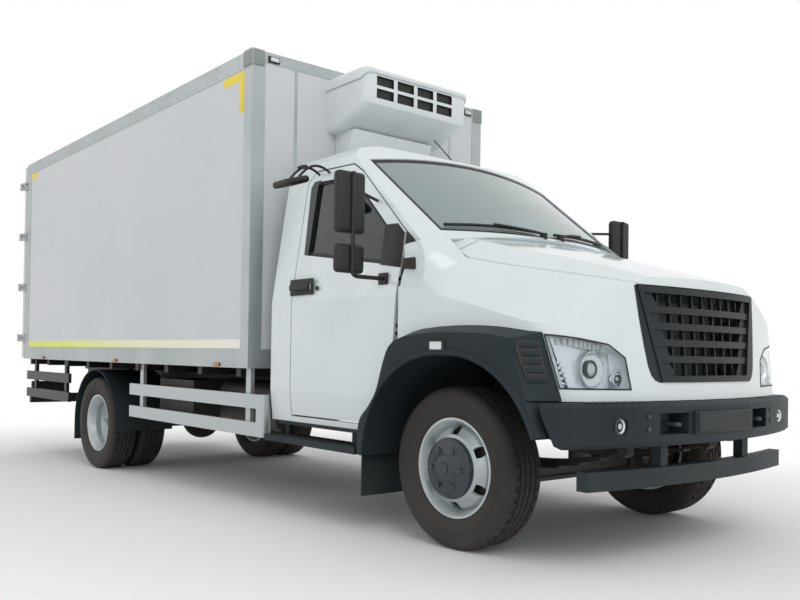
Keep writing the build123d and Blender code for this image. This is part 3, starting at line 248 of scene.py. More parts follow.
finish = {
    "white_paint": cabEnamel, "white_panel": boxFacing, "white_plastic": gelcoat, "trim_aluminium": anodised,
    "portal_steel": galvanised, "dark_plastic": slatePlastic, "grille_plastic": grilleAbs, "cabin_plastic": dashVinyl,
    "black_steel": chassisEnamel, "cast_iron": castIron, "core_aluminium": finStack, "wheel_silver": wheelLacquer,
    "tyre": tyreRubber, "glass": sideGlass, "lamp_glass": lensGlass, "amber_plastic": amberLens,
    "seat_fabric": seatWeave,
}
guardSplit = 4.5  # metres behind the front axle
for row in frame["record"]["subparts"]:
    mesh = nodes[row["node"]].data
    mesh.materials.clear()
    mesh.materials.append(finish[row["material_slot"]])
nodes["windscreen"].data.materials[0] = screenGlass
nodes["side_guards"].data.materials[0] = guardMaterial(axleSpot[0] - guardSplit)
nodes["cab_floor"].data.materials[0] = dashVinyl
print("materials set")


# one finished piece: put in place, shaded, and riding on its body
def finishPiece(name, bm, mats, body, hides=(), space=toTruck, sharpDeg=38):
    if space is not None:
        bmesh.ops.transform(bm, matrix=space, verts=bm.verts)
    bmesh.ops.recalc_face_normals(bm, faces=bm.faces)
    mesh = bpy.data.meshes.new(name)
    bm.to_mesh(mesh)
    bm.free()
    for mat in mats:
        mesh.materials.append(mat)
    mesh.polygons.foreach_set("use_smooth", [True] * len(mesh.polygons))
    mesh.set_sharp_from_angle(angle=math.radians(sharpDeg))
    obj = bpy.data.objects.new(name, mesh)
    scene.collection.objects.link(obj)
    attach(obj, body)
    if hides:
        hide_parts(*hides)


def joinInto(bm, part, place=None, matIndex=0):
    if place is not None:
        bmesh.ops.transform(part, matrix=place, verts=part.verts)
    for face in part.faces:
        face.material_index = matIndex
    carrier = bpy.data.meshes.new("carrier")
    part.to_mesh(carrier)
    part.free()
    bm.from_mesh(carrier)
    bpy.data.meshes.remove(carrier)


def bevelAll(bm, offset, segments):
    bmesh.ops.bevel(bm, geom=bm.edges[:], offset=offset, affect="EDGES", segments=segments, profile=0.5, material=-1)


def addBox(bm, low, high, rounding=0.0, segments=2, matIndex=0, place=None):
    part = bmesh.new()
    size = Vector(high) - Vector(low)
    middle = (Vector(high) + Vector(low)) / 2
    bmesh.ops.create_cube(part, size=1.0, matrix=Matrix.Translation(middle) @ Matrix.Diagonal((*size, 1)))
    if rounding:
        bevelAll(part, rounding, segments)
    joinInto(bm, part, place, matIndex)


# drawings show the left side; the right side is the same with y turned round
def onSide(side, point):
    return Vector((point[0], side * point[1], point[2]))


def addSideBox(bm, side, low, high, rounding=0.0, segments=2, matIndex=0):
    addBox(bm, onSide(side, low), onSide(side, high), rounding, segments, matIndex)


turnDrum = {"X": Matrix.Rotation(math.pi / 2, 4, "Y"), "Y": Matrix.Rotation(-math.pi / 2, 4, "X"),
            "Z": Matrix.Identity(4)}
turnLathe = {"Y": Matrix.Identity(4), "X": Matrix.Rotation(-math.pi / 2, 4, "Z")}


def addDrum(bm, middle, axis, radius, length, segments=20, tipRadius=None):
    part = bmesh.new()
    tip = radius if tipRadius is None else tipRadius
    bmesh.ops.create_cone(part, cap_ends=True, segments=segments, radius1=radius, radius2=tip, depth=length)
    joinInto(bm, part, Matrix.Translation(middle) @ turnDrum[axis])


def spinProfile(profile, steps, sign=1):
    part = bmesh.new()
    rim = [part.verts.new((0, sign * offset, radius)) for radius, offset in profile]
    edges = [part.edges.new(pair) for pair in zip(rim, rim[1:])]
    bmesh.ops.spin(part, geom=rim + edges, cent=(0, 0, 0), axis=(0, 1, 0), angle=2 * math.pi, steps=steps,
                   use_merge=True)
    bmesh.ops.remove_doubles(part, verts=part.verts, dist=0.01)
    return part


# a profile of (radius, offset) spun about Y or X through a point; offset runs along the axis
def addLathe(bm, profile, middle, steps=48, axis="Y", sign=1, matIndex=0):
    joinInto(bm, spinProfile(profile, steps, sign), Matrix.Translation(middle) @ turnLathe[axis], matIndex)


def addTube(bm, points, radius, matIndex=0):
    curve = bpy.data.curves.new("run", "CURVE")
    curve.dimensions = "3D"
    curve.bevel_depth = radius
    curve.bevel_resolution = 3
    curve.resolution_u = 8
    curve.use_fill_caps = True
    spline = curve.splines.new("NURBS")
    spline.points.add(len(points) - 1)
    for knot, point in zip(spline.points, points):
        knot.co = (*point, 1)
    spline.order_u = 3
    spline.use_endpoint_u = True
    holder = bpy.data.objects.new("run", curve)
    scene.collection.objects.link(holder)
    bpy.context.view_layer.update()
    tube = bpy.data.meshes.new_from_object(holder.evaluated_get(bpy.context.evaluated_depsgraph_get()))
    part = bmesh.new()
    part.from_mesh(tube)
    bpy.data.objects.remove(holder)
    bpy.data.meshes.remove(tube)
    joinInto(bm, part, None, matIndex)


def cadCopy(node):
    bm = bmesh.new()
    bm.from_mesh(nodes[node].data)
    bmesh.ops.remove_doubles(bm, verts=bm.verts, dist=1e-5)
    return bm


def extrudeBy(bm, faces, depth, keep):
    grown = bmesh.ops.extrude_face_region(bm, geom=faces, use_keep_orig=keep)["geom"]
    bmesh.ops.translate(bm, verts=[v for v in grown if isinstance(v, bmesh.types.BMVert)], vec=depth)


# a flat or gently folded panel from its corner points, thickened along a direction
def addPanel(bm, points, depth, matIndex=0, rounding=0.0, segments=2):
    part = bmesh.new()
    face = part.faces.new([part.verts.new(point) for point in points])
    extrudeBy(part, [face], depth, True)
    if rounding:
        bmesh.ops.recalc_face_normals(part, faces=part.faces)
        bevelAll(part, rounding, segments)
    joinInto(bm, part, None, matIndex)


# a skin through rows of vertices
def fillGrid(bm, rows):
    for a, b in zip(rows, rows[1:]):
        for k in range(len(a) - 1):
            bm.faces.new((a[k], a[k + 1], b[k + 1], b[k]))


def addSheet(bm, sheet, wall):
    bmesh.ops.recalc_face_normals(sheet, faces=sheet.faces)
    bmesh.ops.solidify(sheet, geom=sheet.faces[:], thickness=wall)
    joinInto(bm, sheet)


# leaves the rim of an open skin, as a flat strip of its own
def keepRim(bm, width, lift):
    rim = bmesh.ops.inset_region(bm, faces=bm.faces[:], thickness=width, use_boundary=True,
                                 use_even_offset=True)["faces"]
    bmesh.ops.delete(bm, geom=list(set(bm.faces) - set(rim)), context="FACES")
    bmesh.ops.solidify(bm, geom=bm.faces[:], thickness=-lift)


# the rim of a CAD pane's outer face
def paneRim(node, outward, width, lift, facing=0.75):
    bm = cadCopy(node)
    bmesh.ops.recalc_face_normals(bm, faces=bm.faces)
    away = [face for face in bm.faces if face.normal.dot(outward) < facing]
    bmesh.ops.delete(bm, geom=away, context="FACES")
    keepRim(bm, width, lift)
    return bm


# tyres: ribs and grooves spun round the axle, then shoulder cuts and fine sipes
tyre = {
    "steps": 90,
    "half": [(262, 91), (275, 104), (300, 114), (318, 118), (321, 120.5), (328, 120.5), (331, 119), (360, 122),
             (385, 120), (401, 113), (409, 104), (415, 95), (418, 88), (418.6, 62), (407, 59), (407, 51), (418.8, 48),
             (419, 24), (407, 21), (407, 13), (419, 10)],
    "treadFrom": 416, "shoulder": (62, 88), "cutEvery": 2, "cutInset": 5.0, "cutDepth": -8.0,
    "rib": (24, 48), "sipeEvery": 3, "sipeInset": 8.0, "sipeDepth": -5.0,
}


def addTyre(bm, middle):
    profile = [(r, -o) for r, o in tyre["half"]] + [(r, o) for r, o in reversed(tyre["half"])]
    part = spinProfile(profile, tyre["steps"])
    bmesh.ops.recalc_face_normals(part, faces=part.faces)
    cuts, sipes = [], []
    for face in part.faces:
        spot = face.calc_center_median()
        away = abs(spot.y)
        step = round(math.atan2(spot.x, spot.z) / (2 * math.pi) * tyre["steps"] - 0.5)
        if math.hypot(spot.x, spot.z) < tyre["treadFrom"]:
            continue
        if tyre["shoulder"][0] < away < tyre["shoulder"][1] and step % tyre["cutEvery"] == 0:
            cuts.append(face)
        if tyre["rib"][0] < away < tyre["rib"][1] and step % tyre["sipeEvery"] == 0:
            sipes.append(face)
    bmesh.ops.inset_individual(part, faces=cuts, thickness=tyre["cutInset"], depth=tyre["cutDepth"])
    bmesh.ops.inset_individual(part, faces=sipes, thickness=tyre["sipeInset"], depth=tyre["sipeDepth"])
    joinInto(bm, part, Matrix.Translation(middle))


for sideName, side in sides.items():
    front = bmesh.new()
    addTyre(front, (0, side * stance["frontTrack"] / 2, stance["tyreRadius"]))
    finishPiece("frontTyre_" + sideName, front, [tyreRubber], "front_wheel_" + sideName,
                ["front_tyre_" + sideName])
    rear = bmesh.new()
    for end in (-1, 1):
        twinY = side * stance["rearTrack"] / 2 + end * stance["twinSpacing"] / 2
        addTyre(rear, (-stance["wheelbase"], twinY, rearAxleZ))
    finishPiece("rearTyres_" + sideName, rear, [tyreRubber], "rear_wheel_" + sideName,
                ["rear_tyres_" + sideName])
print("tyres made")

# front hubs: a dark domed cover with nut caps, and the brake drum behind the disc
hub = {
    "dome": [(158, 108), (158, 120), (154, 130), (120, 142), (86, 146), (70, 161), (64, 166), (40, 168), (0, 168)],
    "nuts": 6, "nutCircle": 104, "nutRadius": 18, "nutTip": 14, "nutHeight": 18, "nutOffset": 148,
    "button": (34, 8), "buttonOffset": 169,
    "drum": [(206, 0), (206, 30), (196, 44), (100, 50), (100, 42), (191, 36), (199, 26), (199, 0), (206, 0)],
}
for sideName, side in sides.items():
    cover = bmesh.new()
    wheelMiddle = Vector((0, side * stance["frontTrack"] / 2, stance["tyreRadius"]))
    addLathe(cover, hub["dome"], wheelMiddle, 48, "Y", side)
    for nut in range(hub["nuts"]):
        angle = 2 * math.pi * nut / hub["nuts"]
        ring = Vector((math.cos(angle), 0, math.sin(angle))) * hub["nutCircle"]
        spot = wheelMiddle + ring + Vector((0, side * hub["nutOffset"], 0))
        part = bmesh.new()
        bmesh.ops.create_cone(part, cap_ends=True, segments=6, radius1=hub["nutRadius"], radius2=hub["nutTip"],
                              depth=hub["nutHeight"])
        joinInto(cover, part, Matrix.Translation(spot) @ Matrix.Rotation(-side * math.pi / 2, 4, "X"))
    addDrum(cover, wheelMiddle + Vector((0, side * hub["buttonOffset"], 0)), "Y", *hub["button"], 24)
    finishPiece("hubCover_" + sideName, cover, [hubPaint], "front_wheel_" + sideName)
    drum = bmesh.new()
    addLathe(drum, hub["drum"], wheelMiddle, 40, "Y", side)
    finishPiece("brakeDrum_" + sideName, drum, [castIron], "front_wheel_" + sideName)
print("hubs made")

# head lamps: clear lens over a bright housing with two bowls, a ribbed indicator and steps at the flank; a dark ring
# round each bulb is painted reflection, the dark surroundings that the chrome bowl would mirror
nose = {"front": 840, "bow": 3400, "lean": 0.0822, "middle": 1155, "corner": 220, "cornerY": 816, "cornerX": 513.5,
        "cornerStart": 872}
headlamp = {
    "depth": 0.06, "lensWall": 0.004, "gasketWidth": 0.007, "gasketLift": 0.002, "facesAhead": 0.25,
    "facesOut": 0.6, "leastAhead": 0.02, "bowlLip": [(0, 4), (3, 4), (5, -2)],
    "bowls": [(802, 946, 86), (676, 902, 34)], "bowlBack": 10,
    "bowl": [(0.86, -14), (0.6, -30), (0.3, -38), (0, -40)], "ring": [(0.5, -36), (0.5, -6), (0.44, 0), (0.38, -8)],
    "bulb": [(0.38, -10), (0.26, 0), (0.12, 5), (0, 6)],
    "indicator": (742, 972), "ribs": 10, "ribWide": 19, "ribTall": 34, "ribBack": (34, 14), "ribReach": 22,
    "ribLevel": 1060, "ribFrom": 745, "ribRise": 0.152,
    "steps": 5, "step": ((648, 925, 872), (682, 968, 887)), "stepShift": (-6, 0, 24),
}


def noseX(y, z):
    away = abs(y)
    if away < nose["cornerStart"]:
        front = nose["front"] - nose["bow"] + math.sqrt(nose["bow"] ** 2 - away ** 2)
    else:
        front = nose["cornerX"] + math.sqrt(max(0, nose["corner"] ** 2 - (away - nose["cornerY"]) ** 2))
    return front - nose["lean"] * (z - nose["middle"])


# the outer skin of the CAD lamps: what looks ahead, or outwards at the wrapped corner
def lampFront():
    bm = cadCopy("headlamps")
    bmesh.ops.recalc_face_normals(bm, faces=bm.faces)
    inner = []
    for face in bm.faces:
        outward = face.normal.y * (1 if face.calc_center_median().y > 0 else -1)
        wrapped = outward > headlamp["facesOut"] and face.normal.x > headlamp["leastAhead"]
        if face.normal.x < headlamp["facesAhead"] and not wrapped:
            inner.append(face)
    bmesh.ops.delete(bm, geom=inner, context="FACES")
    return bm


lens = lampFront()
bmesh.ops.solidify(lens, geom=lens.faces[:], thickness=headlamp["lensWall"])
finishPiece("headlampLenses", lens, [lensGlass], "chassis", ["headlamps"], None)
bucket = lampFront()
front = bucket.faces[:]
extrudeBy(bucket, front, (-headlamp["depth"], 0, 0), False)
bmesh.ops.delete(bucket, geom=[face for face in front if face.is_valid], context="FACES")
finishPiece("headlampHousings", bucket, [lampShell], "chassis", (), None)
gasket = lampFront()
keepRim(gasket, headlamp["gasketWidth"], headlamp["gasketLift"])
finishPiece("headlampGaskets", gasket, [blackRubber], "chassis", (), None)
bowls = bmesh.new()
for side in (-1, 1):
    for y, z, radius in headlamp["bowls"]:
        mouth = (noseX(y + radius, z) - headlamp["bowlBack"], side * y, z)
        lip = [(radius - inset, x) for inset, x in headlamp["bowlLip"]]
        addLathe(bowls, lip + [(radius * r, x) for r, x in headlamp["bowl"]], mouth, 40, "X")
        # dark ring round the bulb: painted reflection, standing in for the dark surroundings mirrored in the chrome
        # bowl
        addLathe(bowls, [(radius * r, x) for r, x in headlamp["ring"]], mouth, 32, "X", 1, 2)
        addLathe(bowls, [(radius * r, x) for r, x in headlamp["bulb"]], mouth, 32, "X", 1, 1)
    start, end = headlamp["indicator"]
    for rib in range(headlamp["ribs"]):
        y = start + (end - start) * rib / headlamp["ribs"]
        z = headlamp["ribLevel"] + (y - headlamp["ribFrom"]) * headlamp["ribRise"]
        back, ahead = [noseX(y + headlamp["ribReach"], z) - depth for depth in headlamp["ribBack"]]
        addSideBox(bowls, side, (back, y, z - headlamp["ribTall"]), (ahead, y + headlamp["ribWide"], z), 6, 2, 1)
    for step in range(headlamp["steps"]):
        low, high = [Vector(corner) + Vector(headlamp["stepShift"]) * step for corner in headlamp["step"]]
        addSideBox(bowls, side, low, high, 4)
finishPiece("headlampBowls", bowls, [mirrorBowl, clearLamp, hubPaint], "chassis")
print("head lamps made")

# where a line between two drawn points meets the CAD wings
wingTree = BVHTree.FromBMesh(cadCopy("front_wings"))


def wingHit(start, aim):
    begin, end = toTruck @ Vector(start), toTruck @ Vector(aim)
    return toTruck.inverted() @ wingTree.ray_cast(begin, (end - begin).normalized())[0]


# grille cheeks: dark panels on the nose that square off the lower corners of the grille
grille = {
    "rows": [(1350, 549, 557), (1200, 505, 540), (1050, 462, 515), (960, 436, 496), (920, 424, 478), (896, 417, 452),
             (886, 414, 424)],
    "thick": 7, "lift": 3, "lap": 8, "edge": 9, "ahead": 1300,
}
cheeks = bmesh.new()
for side in (-1, 1):
    sheet = bmesh.new()
    rows = []
    for z, inner, outer in grille["rows"]:
        columns = (inner + grille["edge"], (inner + outer) / 2 + 6, outer + grille["edge"])
        skin = [(y, wingHit((grille["ahead"], side * y, z), (0, side * y, z)).x + grille["lift"]) for y in columns]
        skin.insert(0, (inner - grille["lap"], skin[0][1] + 1))
        rows.append([sheet.verts.new((x, side * y, z)) for y, x in skin])
    fillGrid(sheet, rows)
    addSheet(cheeks, sheet, grille["thick"])
finishPiece("grilleCheeks", cheeks, [grilleAbs], "chassis")
print("grille cheeks made")

# door mirrors: rounded heads with their glass, on a bent tube with a stay to the door frame
mirror = {
    "heads": [((-566, 1158, 1660), (-505, 1352, 2000)), ((-562, 1158, 1442), (-508, 1352, 1600))], "rounding": 24,
    "glassInset": 18, "glassDepth": (-3, 4), "tube": 12, "stayTube": 9,
    "foot": ((-545, 1022, 1392), (-465, 1036, 1458)),
    "stem": [(-505, 1023, 1425), (-505, 1150, 1425), (-505, 1255, 1425), (-500, 1255, 1500), (-500, 1255, 1700),
             (-500, 1255, 1950), (-500, 1255, 1995)],
    "stay": [(-500, 1255, 1905), (-580, 1110, 1900), (-660, 950, 1895)],
}
for sideName, side in sides.items():
    heads = bmesh.new()
    inset = mirror["glassInset"]
    behind, before = mirror["glassDepth"]
    for low, high in mirror["heads"]:
        addSideBox(heads, side, low, high, mirror["rounding"], 4)
        addSideBox(heads, side, (low[0] + behind, low[1] + inset, low[2] + inset),
                   (low[0] + before, high[1] - inset, high[2] - inset), 2, 1, 1)
    addTube(heads, [onSide(side, point) for point in mirror["stem"]], mirror["tube"])
    addTube(heads, [onSide(side, point) for point in mirror["stay"]], mirror["stayTube"])
    addSideBox(heads, side, *mirror["foot"], 6)
    finishPiece("mirrors_dressed_" + sideName, heads, [blackRubber, mirrorBowl], "door_" + sideName,
                ["mirrors_" + sideName])

# kerb mirror: a flat rounded head hung from a looped bracket over the door
kerbMirror = {
    "middle": (-1245, -1165, 2062), "half": (98, 82, 22), "rounding": 20, "tilt": 16, "tube": 8,
    "bracket": [[(-1300, -902, 2150), (-1298, -965, 2192), (-1290, -1080, 2172), (-1282, -1150, 2084)],
                [(-1190, -902, 2146), (-1188, -965, 2186), (-1196, -1080, 2166), (-1208, -1140, 2084)],
                [(-1290, -1080, 2172), (-1240, -1085, 2176), (-1196, -1080, 2166)]],
}
kerb = bmesh.new()
kerbPlace = Matrix.Translation(kerbMirror["middle"]) @ Matrix.Rotation(math.radians(kerbMirror["tilt"]), 4, "X")
addBox(kerb, -Vector(kerbMirror["half"]), kerbMirror["half"], kerbMirror["rounding"], 4, 0, kerbPlace)
for run in kerbMirror["bracket"]:
    addTube(kerb, run, kerbMirror["tube"])
finishPiece("kerbMirror", kerb, [blackRubber], "door_right")
print("mirrors made")

# wipers lie on the foot of the windscreen, each run from (tip y, tip height) to (root y, root height)
screen = {"middle": Vector((-480, 0, 1990)), "up": Vector((-0.7819, 0, 0.6234)), "out": Vector((0.6234, 0, 0.7819)),
          "bow": 3600, "half": 473, "inset": 10}
wiper = {"runs": [(-770, 165, -120, 80), (640, 150, 40, 72)], "blade": 9, "bladeLift": 14, "bladeParts": 4, "arm": 8,
         "armFoot": (40, 26), "armKnee": (70, 34), "kneeShare": 0.2, "armLift": 26, "pivotAside": 30,
         "pivot": (36, 12), "pivotSize": (22, 40)}


def onScreen(up, y, lift):
    sag = screen["bow"] - math.sqrt(screen["bow"] ** 2 - y * y)
    return (screen["middle"] + screen["up"] * (up - screen["half"])
            + screen["out"] * (lift - sag - screen["inset"]) + Vector((0, y, 0)))


wipers = bmesh.new()
for yTip, upTip, yRoot, upRoot in wiper["runs"]:
    shares = [k / wiper["bladeParts"] for k in range(wiper["bladeParts"] + 1)]
    blade = [onScreen(upTip + (upRoot - upTip) * t, yTip + (yRoot - yTip) * t, wiper["bladeLift"]) for t in shares]
    addTube(wipers, blade, wiper["blade"])
    pivotY = yRoot + wiper["pivotAside"]
    footUp, footLift = wiper["armFoot"]
    kneeUp, kneeLift = wiper["armKnee"]
    addTube(wipers, [onScreen(footUp, pivotY, footLift),
                     onScreen(kneeUp, yRoot - (yRoot - yTip) * wiper["kneeShare"], kneeLift),
                     onScreen((upTip + upRoot) / 2, (yTip + yRoot) / 2, wiper["armLift"])], wiper["arm"])
    addDrum(wipers, onScreen(wiper["pivot"][0], pivotY, wiper["pivot"][1]), "Z", *wiper["pivotSize"])
finishPiece("wipers", wipers, [blackRubber], "chassis")

# roof aerial: a whip leaning back from a tapered foot
aerial = {"whip": [(-1070, 100, 2330), (-1150, 100, 2410), (-1290, 100, 2545)], "radius": 4,
          "foot": (-1068, 100, 2342), "footRadius": 20, "footTip": 9, "footHeight": 30}
whip = bmesh.new()
addTube(whip, aerial["whip"], aerial["radius"])
addDrum(whip, aerial["foot"], "Z", aerial["footRadius"], aerial["footHeight"], 20, aerial["footTip"])
finishPiece("aerial", whip, [blackRubber], "chassis")
print("wipers and aerial made")

# box markings: a reflective band along the foot and yellow corner marks
boxFace = {"half": 1116, "thick": 2, "front": -1905, "tail": -6560, "band": (1026, 1088), "fadeLevel": 1050,
           "markTop": 2944, "markLength": 285, "markWidth": 62, "markInset": 6}
marks = bmesh.new()
band = bmesh.new()
for side in (-1, 1):
    inner, outer = boxFace["half"], boxFace["half"] + boxFace["thick"]
    low, high = boxFace["band"]
    addSideBox(band, side, (boxFace["tail"], inner, low), (boxFace["front"], outer, high))
    for x, step in ((boxFace["front"] - boxFace["markInset"], -1), (boxFace["tail"] + boxFace["markInset"], 1)):
        top, width, length = boxFace["markTop"], boxFace["markWidth"], boxFace["markLength"]
        addSideBox(marks, side, (x, inner, top - width), (x + step * length, outer, top))
        addSideBox(marks, side, (x, inner, top - length), (x + step * width, outer, top - width))
bandX = [(toTruck @ Vector((x, 0, boxFace["fadeLevel"]))).x for x in (boxFace["tail"], boxFace["front"])]
finishPiece("reflectiveBand", band, [bandMaterial(*bandX)], "chassis")
finishPiece("cornerMarks", marks, [yellowSheet], "chassis")
print("box markings made")

# glass surrounds: a rubber frame in each door, a dark strip behind its pane and a black band round the windscreen
cabFlank = {"half": 1012, "level": 1480, "lean": 0.1574}
paneStrip = {"outline": [(-1292, 1622), (-1336, 1632), (-1366, 2072), (-1340, 2110), (-1270, 2112), (-1292, 2075)],
             "lift": 3, "thick": 6, "sealWidth": 0.022, "sealLift": 0.007, "sealLean": 0.15,
             "bandWidth": 0.032, "bandLift": 0.002, "bandFacing": (0.62, 0, 0.78)}


# a drawn side view laid on the cab's leaning flank
def onFlank(side, outline, lift):
    lean, level, half = cabFlank["lean"], cabFlank["level"], cabFlank["half"]
    return [(x, side * (half - lean * (z - level) + lift), z) for x, z in outline]


for sideName, side in sides.items():
    outward = Vector((0, side, paneStrip["sealLean"])).normalized()
    rim = paneRim("door_glass_" + sideName, outward, paneStrip["sealWidth"], paneStrip["sealLift"])
    finishPiece("windowSeal_" + sideName, rim, [blackRubber], "door_" + sideName, (), None)
    strip = bmesh.new()
    addPanel(strip, onFlank(side, paneStrip["outline"], paneStrip["lift"]), (0, -side * paneStrip["thick"], 0))
    finishPiece("paneStrip_" + sideName, strip, [paneBlack], "door_" + sideName)
screenBand = paneRim("windscreen", Vector(paneStrip["bandFacing"]), paneStrip["bandWidth"], paneStrip["bandLift"])
finishPiece("windscreenBand", screenBand, [blackRubber], "chassis", (), None)

# black corner trim where the door window meets the pillar foot: one part on the door, one on the cab
cornerTrim = {"door": [(-560, 1510), (-381, 1482), (-381, 1676), (-450, 1738), (-560, 1742)],
              "cab": [(-366, 1474), (-256, 1462), (-268, 1604), (-300, 1640), (-366, 1688)],
              "lift": 4, "thick": 7, "rounding": 2.5}
for sideName, side in sides.items():
    for body, points in (("door_" + sideName, cornerTrim["door"]), ("chassis", cornerTrim["cab"])):
        trim = bmesh.new()
        addPanel(trim, onFlank(side, points, cornerTrim["lift"]), (0, -side * cornerTrim["thick"], 0), 0,
                 cornerTrim["rounding"])
        finishPiece("cornerTrim_" + body + "_" + sideName, trim, [blackRubber], body)

# pillar foot: a smooth cheek from the windscreen's corner down to the wing
cheek = {"rows": [822, 850, 880, 910, 940, 965, 985, 1000, 1008], "steps": 10, "tail": (-353, 1384, 1606),
         "top": 38, "topFrom": 800, "topRise": 0.0775, "topLift": 11, "lowX": -60, "lowBack": 145, "lowCurve": 1.4,
         "sink": 2, "pull": 0.45, "above": 2300}
for sideName, side in sides.items():
    foot = bmesh.new()
    grid = []
    for y in cheek["rows"]:
        top = onScreen(cheek["top"] + (y - cheek["topFrom"]) * cheek["topRise"], side * y, cheek["topLift"])
        share = (y - cheek["rows"][0]) / (cheek["rows"][-1] - cheek["rows"][0])
        x = cheek["lowX"] - cheek["lowBack"] * share ** cheek["lowCurve"]
        wingTop = wingHit((x, side * y, cheek["above"]), (x, side * y, 0)).z
        low = Vector((x, side * y, wingTop - cheek["sink"]))
        bend = top - screen["up"] * (low - top).length * cheek["pull"]
        shares = [step / cheek["steps"] for step in range(cheek["steps"] + 1)]
        grid.append([foot.verts.new(top * (1 - t) ** 2 + bend * 2 * t * (1 - t) + low * t * t) for t in shares])
    fillGrid(foot, grid)
    tailX, tailLow, tailHigh = cheek["tail"]
    corner = [foot.verts.new((tailX, side * cheek["rows"][-1], z)) for z in (tailLow, tailHigh)]
    foot.faces.new(grid[-1] + corner)
    finishPiece("pillarFoot_" + sideName, foot, [cabEnamel], "chassis", (), toTruck, 50)
print("glass surrounds and pillar feet made")

# door handles: a dark pull over a shallow dish, and the lock
handle = {"dish": ((-1418, 1034, 1368), (-1166, 1041, 1470), 3),
          "pull": ((-1394, 1046, 1396), (-1186, 1069, 1438), 9),
          "lock": (-1130, 1036, 1404), "lockSize": (14, 6)}
for sideName, side in sides.items():
    pull = bmesh.new()
    for low, high, rounding in (handle["dish"], handle["pull"]):
        addSideBox(pull, side, low, high, rounding, 3)
    addDrum(pull, onSide(side, handle["lock"]), "Y", *handle["lockSize"])
    finishPiece("doorHandle_" + sideName, pull, [blackRubber], "door_" + sideName)

# wheel-arch flares: a smooth moulded arch with a raised bead round the opening, its liner and a mud flap
# the outline gives each station as (root x, root z, lip x, lip z), from the tail round to the front
flare = {
    "base": 1030, "lip": 1138, "arch": 575, "centres": (40, 115), "level": 425, "wall": 5, "corner": 15, "fine": 4,
    "bead": 36, "beadShare": 0.6, "beadTop": 0.84, "proud": 8, "edgeRound": 5, "edgeProud": 0.4, "crown": 3,
    "crownAt": (0.75, 0.94), "lipRound": 14, "lipShare": 0.2,
    "linerInner": 600, "noseLiner": 1000, "noseLinerTop": 740, "noseFrom": 330, "noseInner": 914, "tuck": 8,
    "flap": ((-602, 780, 200), (-592, 1090, 520)),
    "outline": [(-600, 440, -585, 440), (-614, 560, -585, 560), (-600, 650, -560, 645), (-545, 722, -490, 715),
                (-470, 800, -430, 800), (-436, 900, -392, 905), (-408, 985, -366, 975), (-366, 1062, -330, 1040),
                (-300, 1108, -270, 1078), (-200, 1136, -180, 1099), (-100, 1147, -90, 1107), (0, 1153, 0, 1112),
                (175, 1155, 175, 1113), (330, 1148, 310, 1108), (430, 1138, 400, 1100), (612, 1114, 505, 1082),
                (684, 859, 590, 859), (698, 803, 609, 803), (668, 797, 606, 797), (724, 642, 690, 642)],
}


# one section of the flare, from the wing over the lip and the bead to the liner
def flareRow(bx, bz, lx, lz):
    base, lip = Vector((bx, flare["base"], bz)), Vector((lx, flare["lip"], lz))
    first, last = flare["centres"]
    middle = Vector((min(max(lx, first), last), flare["lip"], flare["level"]))
    inward = (middle - lip).normalized()
    edge = middle - inward * flare["arch"]
    width = (edge - lip).length
    bead = min(flare["bead"], width * flare["beadShare"])
    ahead = bx > flare["noseFrom"]
    inner = flare["noseInner"] if ahead else flare["base"] - flare["tuck"]
    liner = flare["linerInner"] if edge.z > flare["noseLinerTop"] or not ahead else flare["noseLiner"]
    proud = Vector((0, flare["proud"], 0))
    rise, crown = flare["crownAt"]
    return [Vector((bx, inner, bz)), base, base.lerp(lip, rise),
            base.lerp(lip, crown) + Vector((0, flare["crown"], 0)),
            lip + inward * min(flare["lipRound"], width * flare["lipShare"]), edge - inward * bead,
            edge - inward * bead * flare["beadTop"] + proud, edge - inward * flare["edgeRound"] + proud,
            edge + proud * flare["edgeProud"], Vector((edge.x, flare["base"], edge.z)),
            Vector((edge.x, liner, edge.z))]


# stations between the drawn ones: a smooth run up to the front corner, straight below it
def flareStations():
    drawn = [Vector(point) for point in flare["outline"]]
    stations = []
    for k in range(len(drawn) - 1):
        for step in range(flare["fine"]):
            t = step / flare["fine"]
            a, b = drawn[k], drawn[k + 1]
            if k >= flare["corner"]:
                stations.append(a.lerp(b, t))
                continue
            before = drawn[max(k - 1, 0)]
            after = drawn[min(k + 2, flare["corner"])]
            bend = (2 * before - 5 * a + 4 * b - after) * t * t + (3 * a - before - 3 * b + after) * t ** 3
            stations.append(0.5 * (2 * a + (b - before) * t + bend))
    return stations + [drawn[-1]]


arches = bmesh.new()
for side in (-1, 1):
    sheet = bmesh.new()
    fillGrid(sheet, [[sheet.verts.new(onSide(side, point)) for point in flareRow(*station)]
                     for station in flareStations()])
    addSheet(arches, sheet, flare["wall"])
    addSideBox(arches, side, *flare["flap"], 3)
finishPiece("archFlares_moulded", arches, [slatePlastic], "chassis", ["arch_flares"])

# flare vents: a panel with ribs on the slanted end of each flare, and a side repeater
vent = {"low": 884, "high": 1074, "cutAt": 1034, "ribs": 5, "lift": 3, "ribSpan": (0.31, 0.85),
        "ribShare": (0.18, 0.68), "outer": 0.16, "outerLow": 0.26, "outerHigh": 0.3, "inner": 0.9,
        "panelDepth": (2.0, 2.1, 0.6), "ribDepth": (6.0, 6.2, 1.8), "outward": (0.68, 0.7, 0.2),
        "lipLine": (490, 1122, 0.380, 1140), "rootLine": (602, 1150, 0.282, 1034)}
repeater = {"foot": ((-8, 1120, 1018), (104, 1150, 1080)), "lens": ((6, 1142, 1029), (90, 1155, 1069))}


# a point on the slanted end: share 0 is its outer edge, 1 its root
def flareEnd(share, z):
    lip, root = [Vector((x + (level - z) * slant, y, z))
                 for x, level, slant, y in (vent["lipLine"], vent["rootLine"])]
    return lip.lerp(root, share) + Vector(vent["outward"]) * vent["lift"]


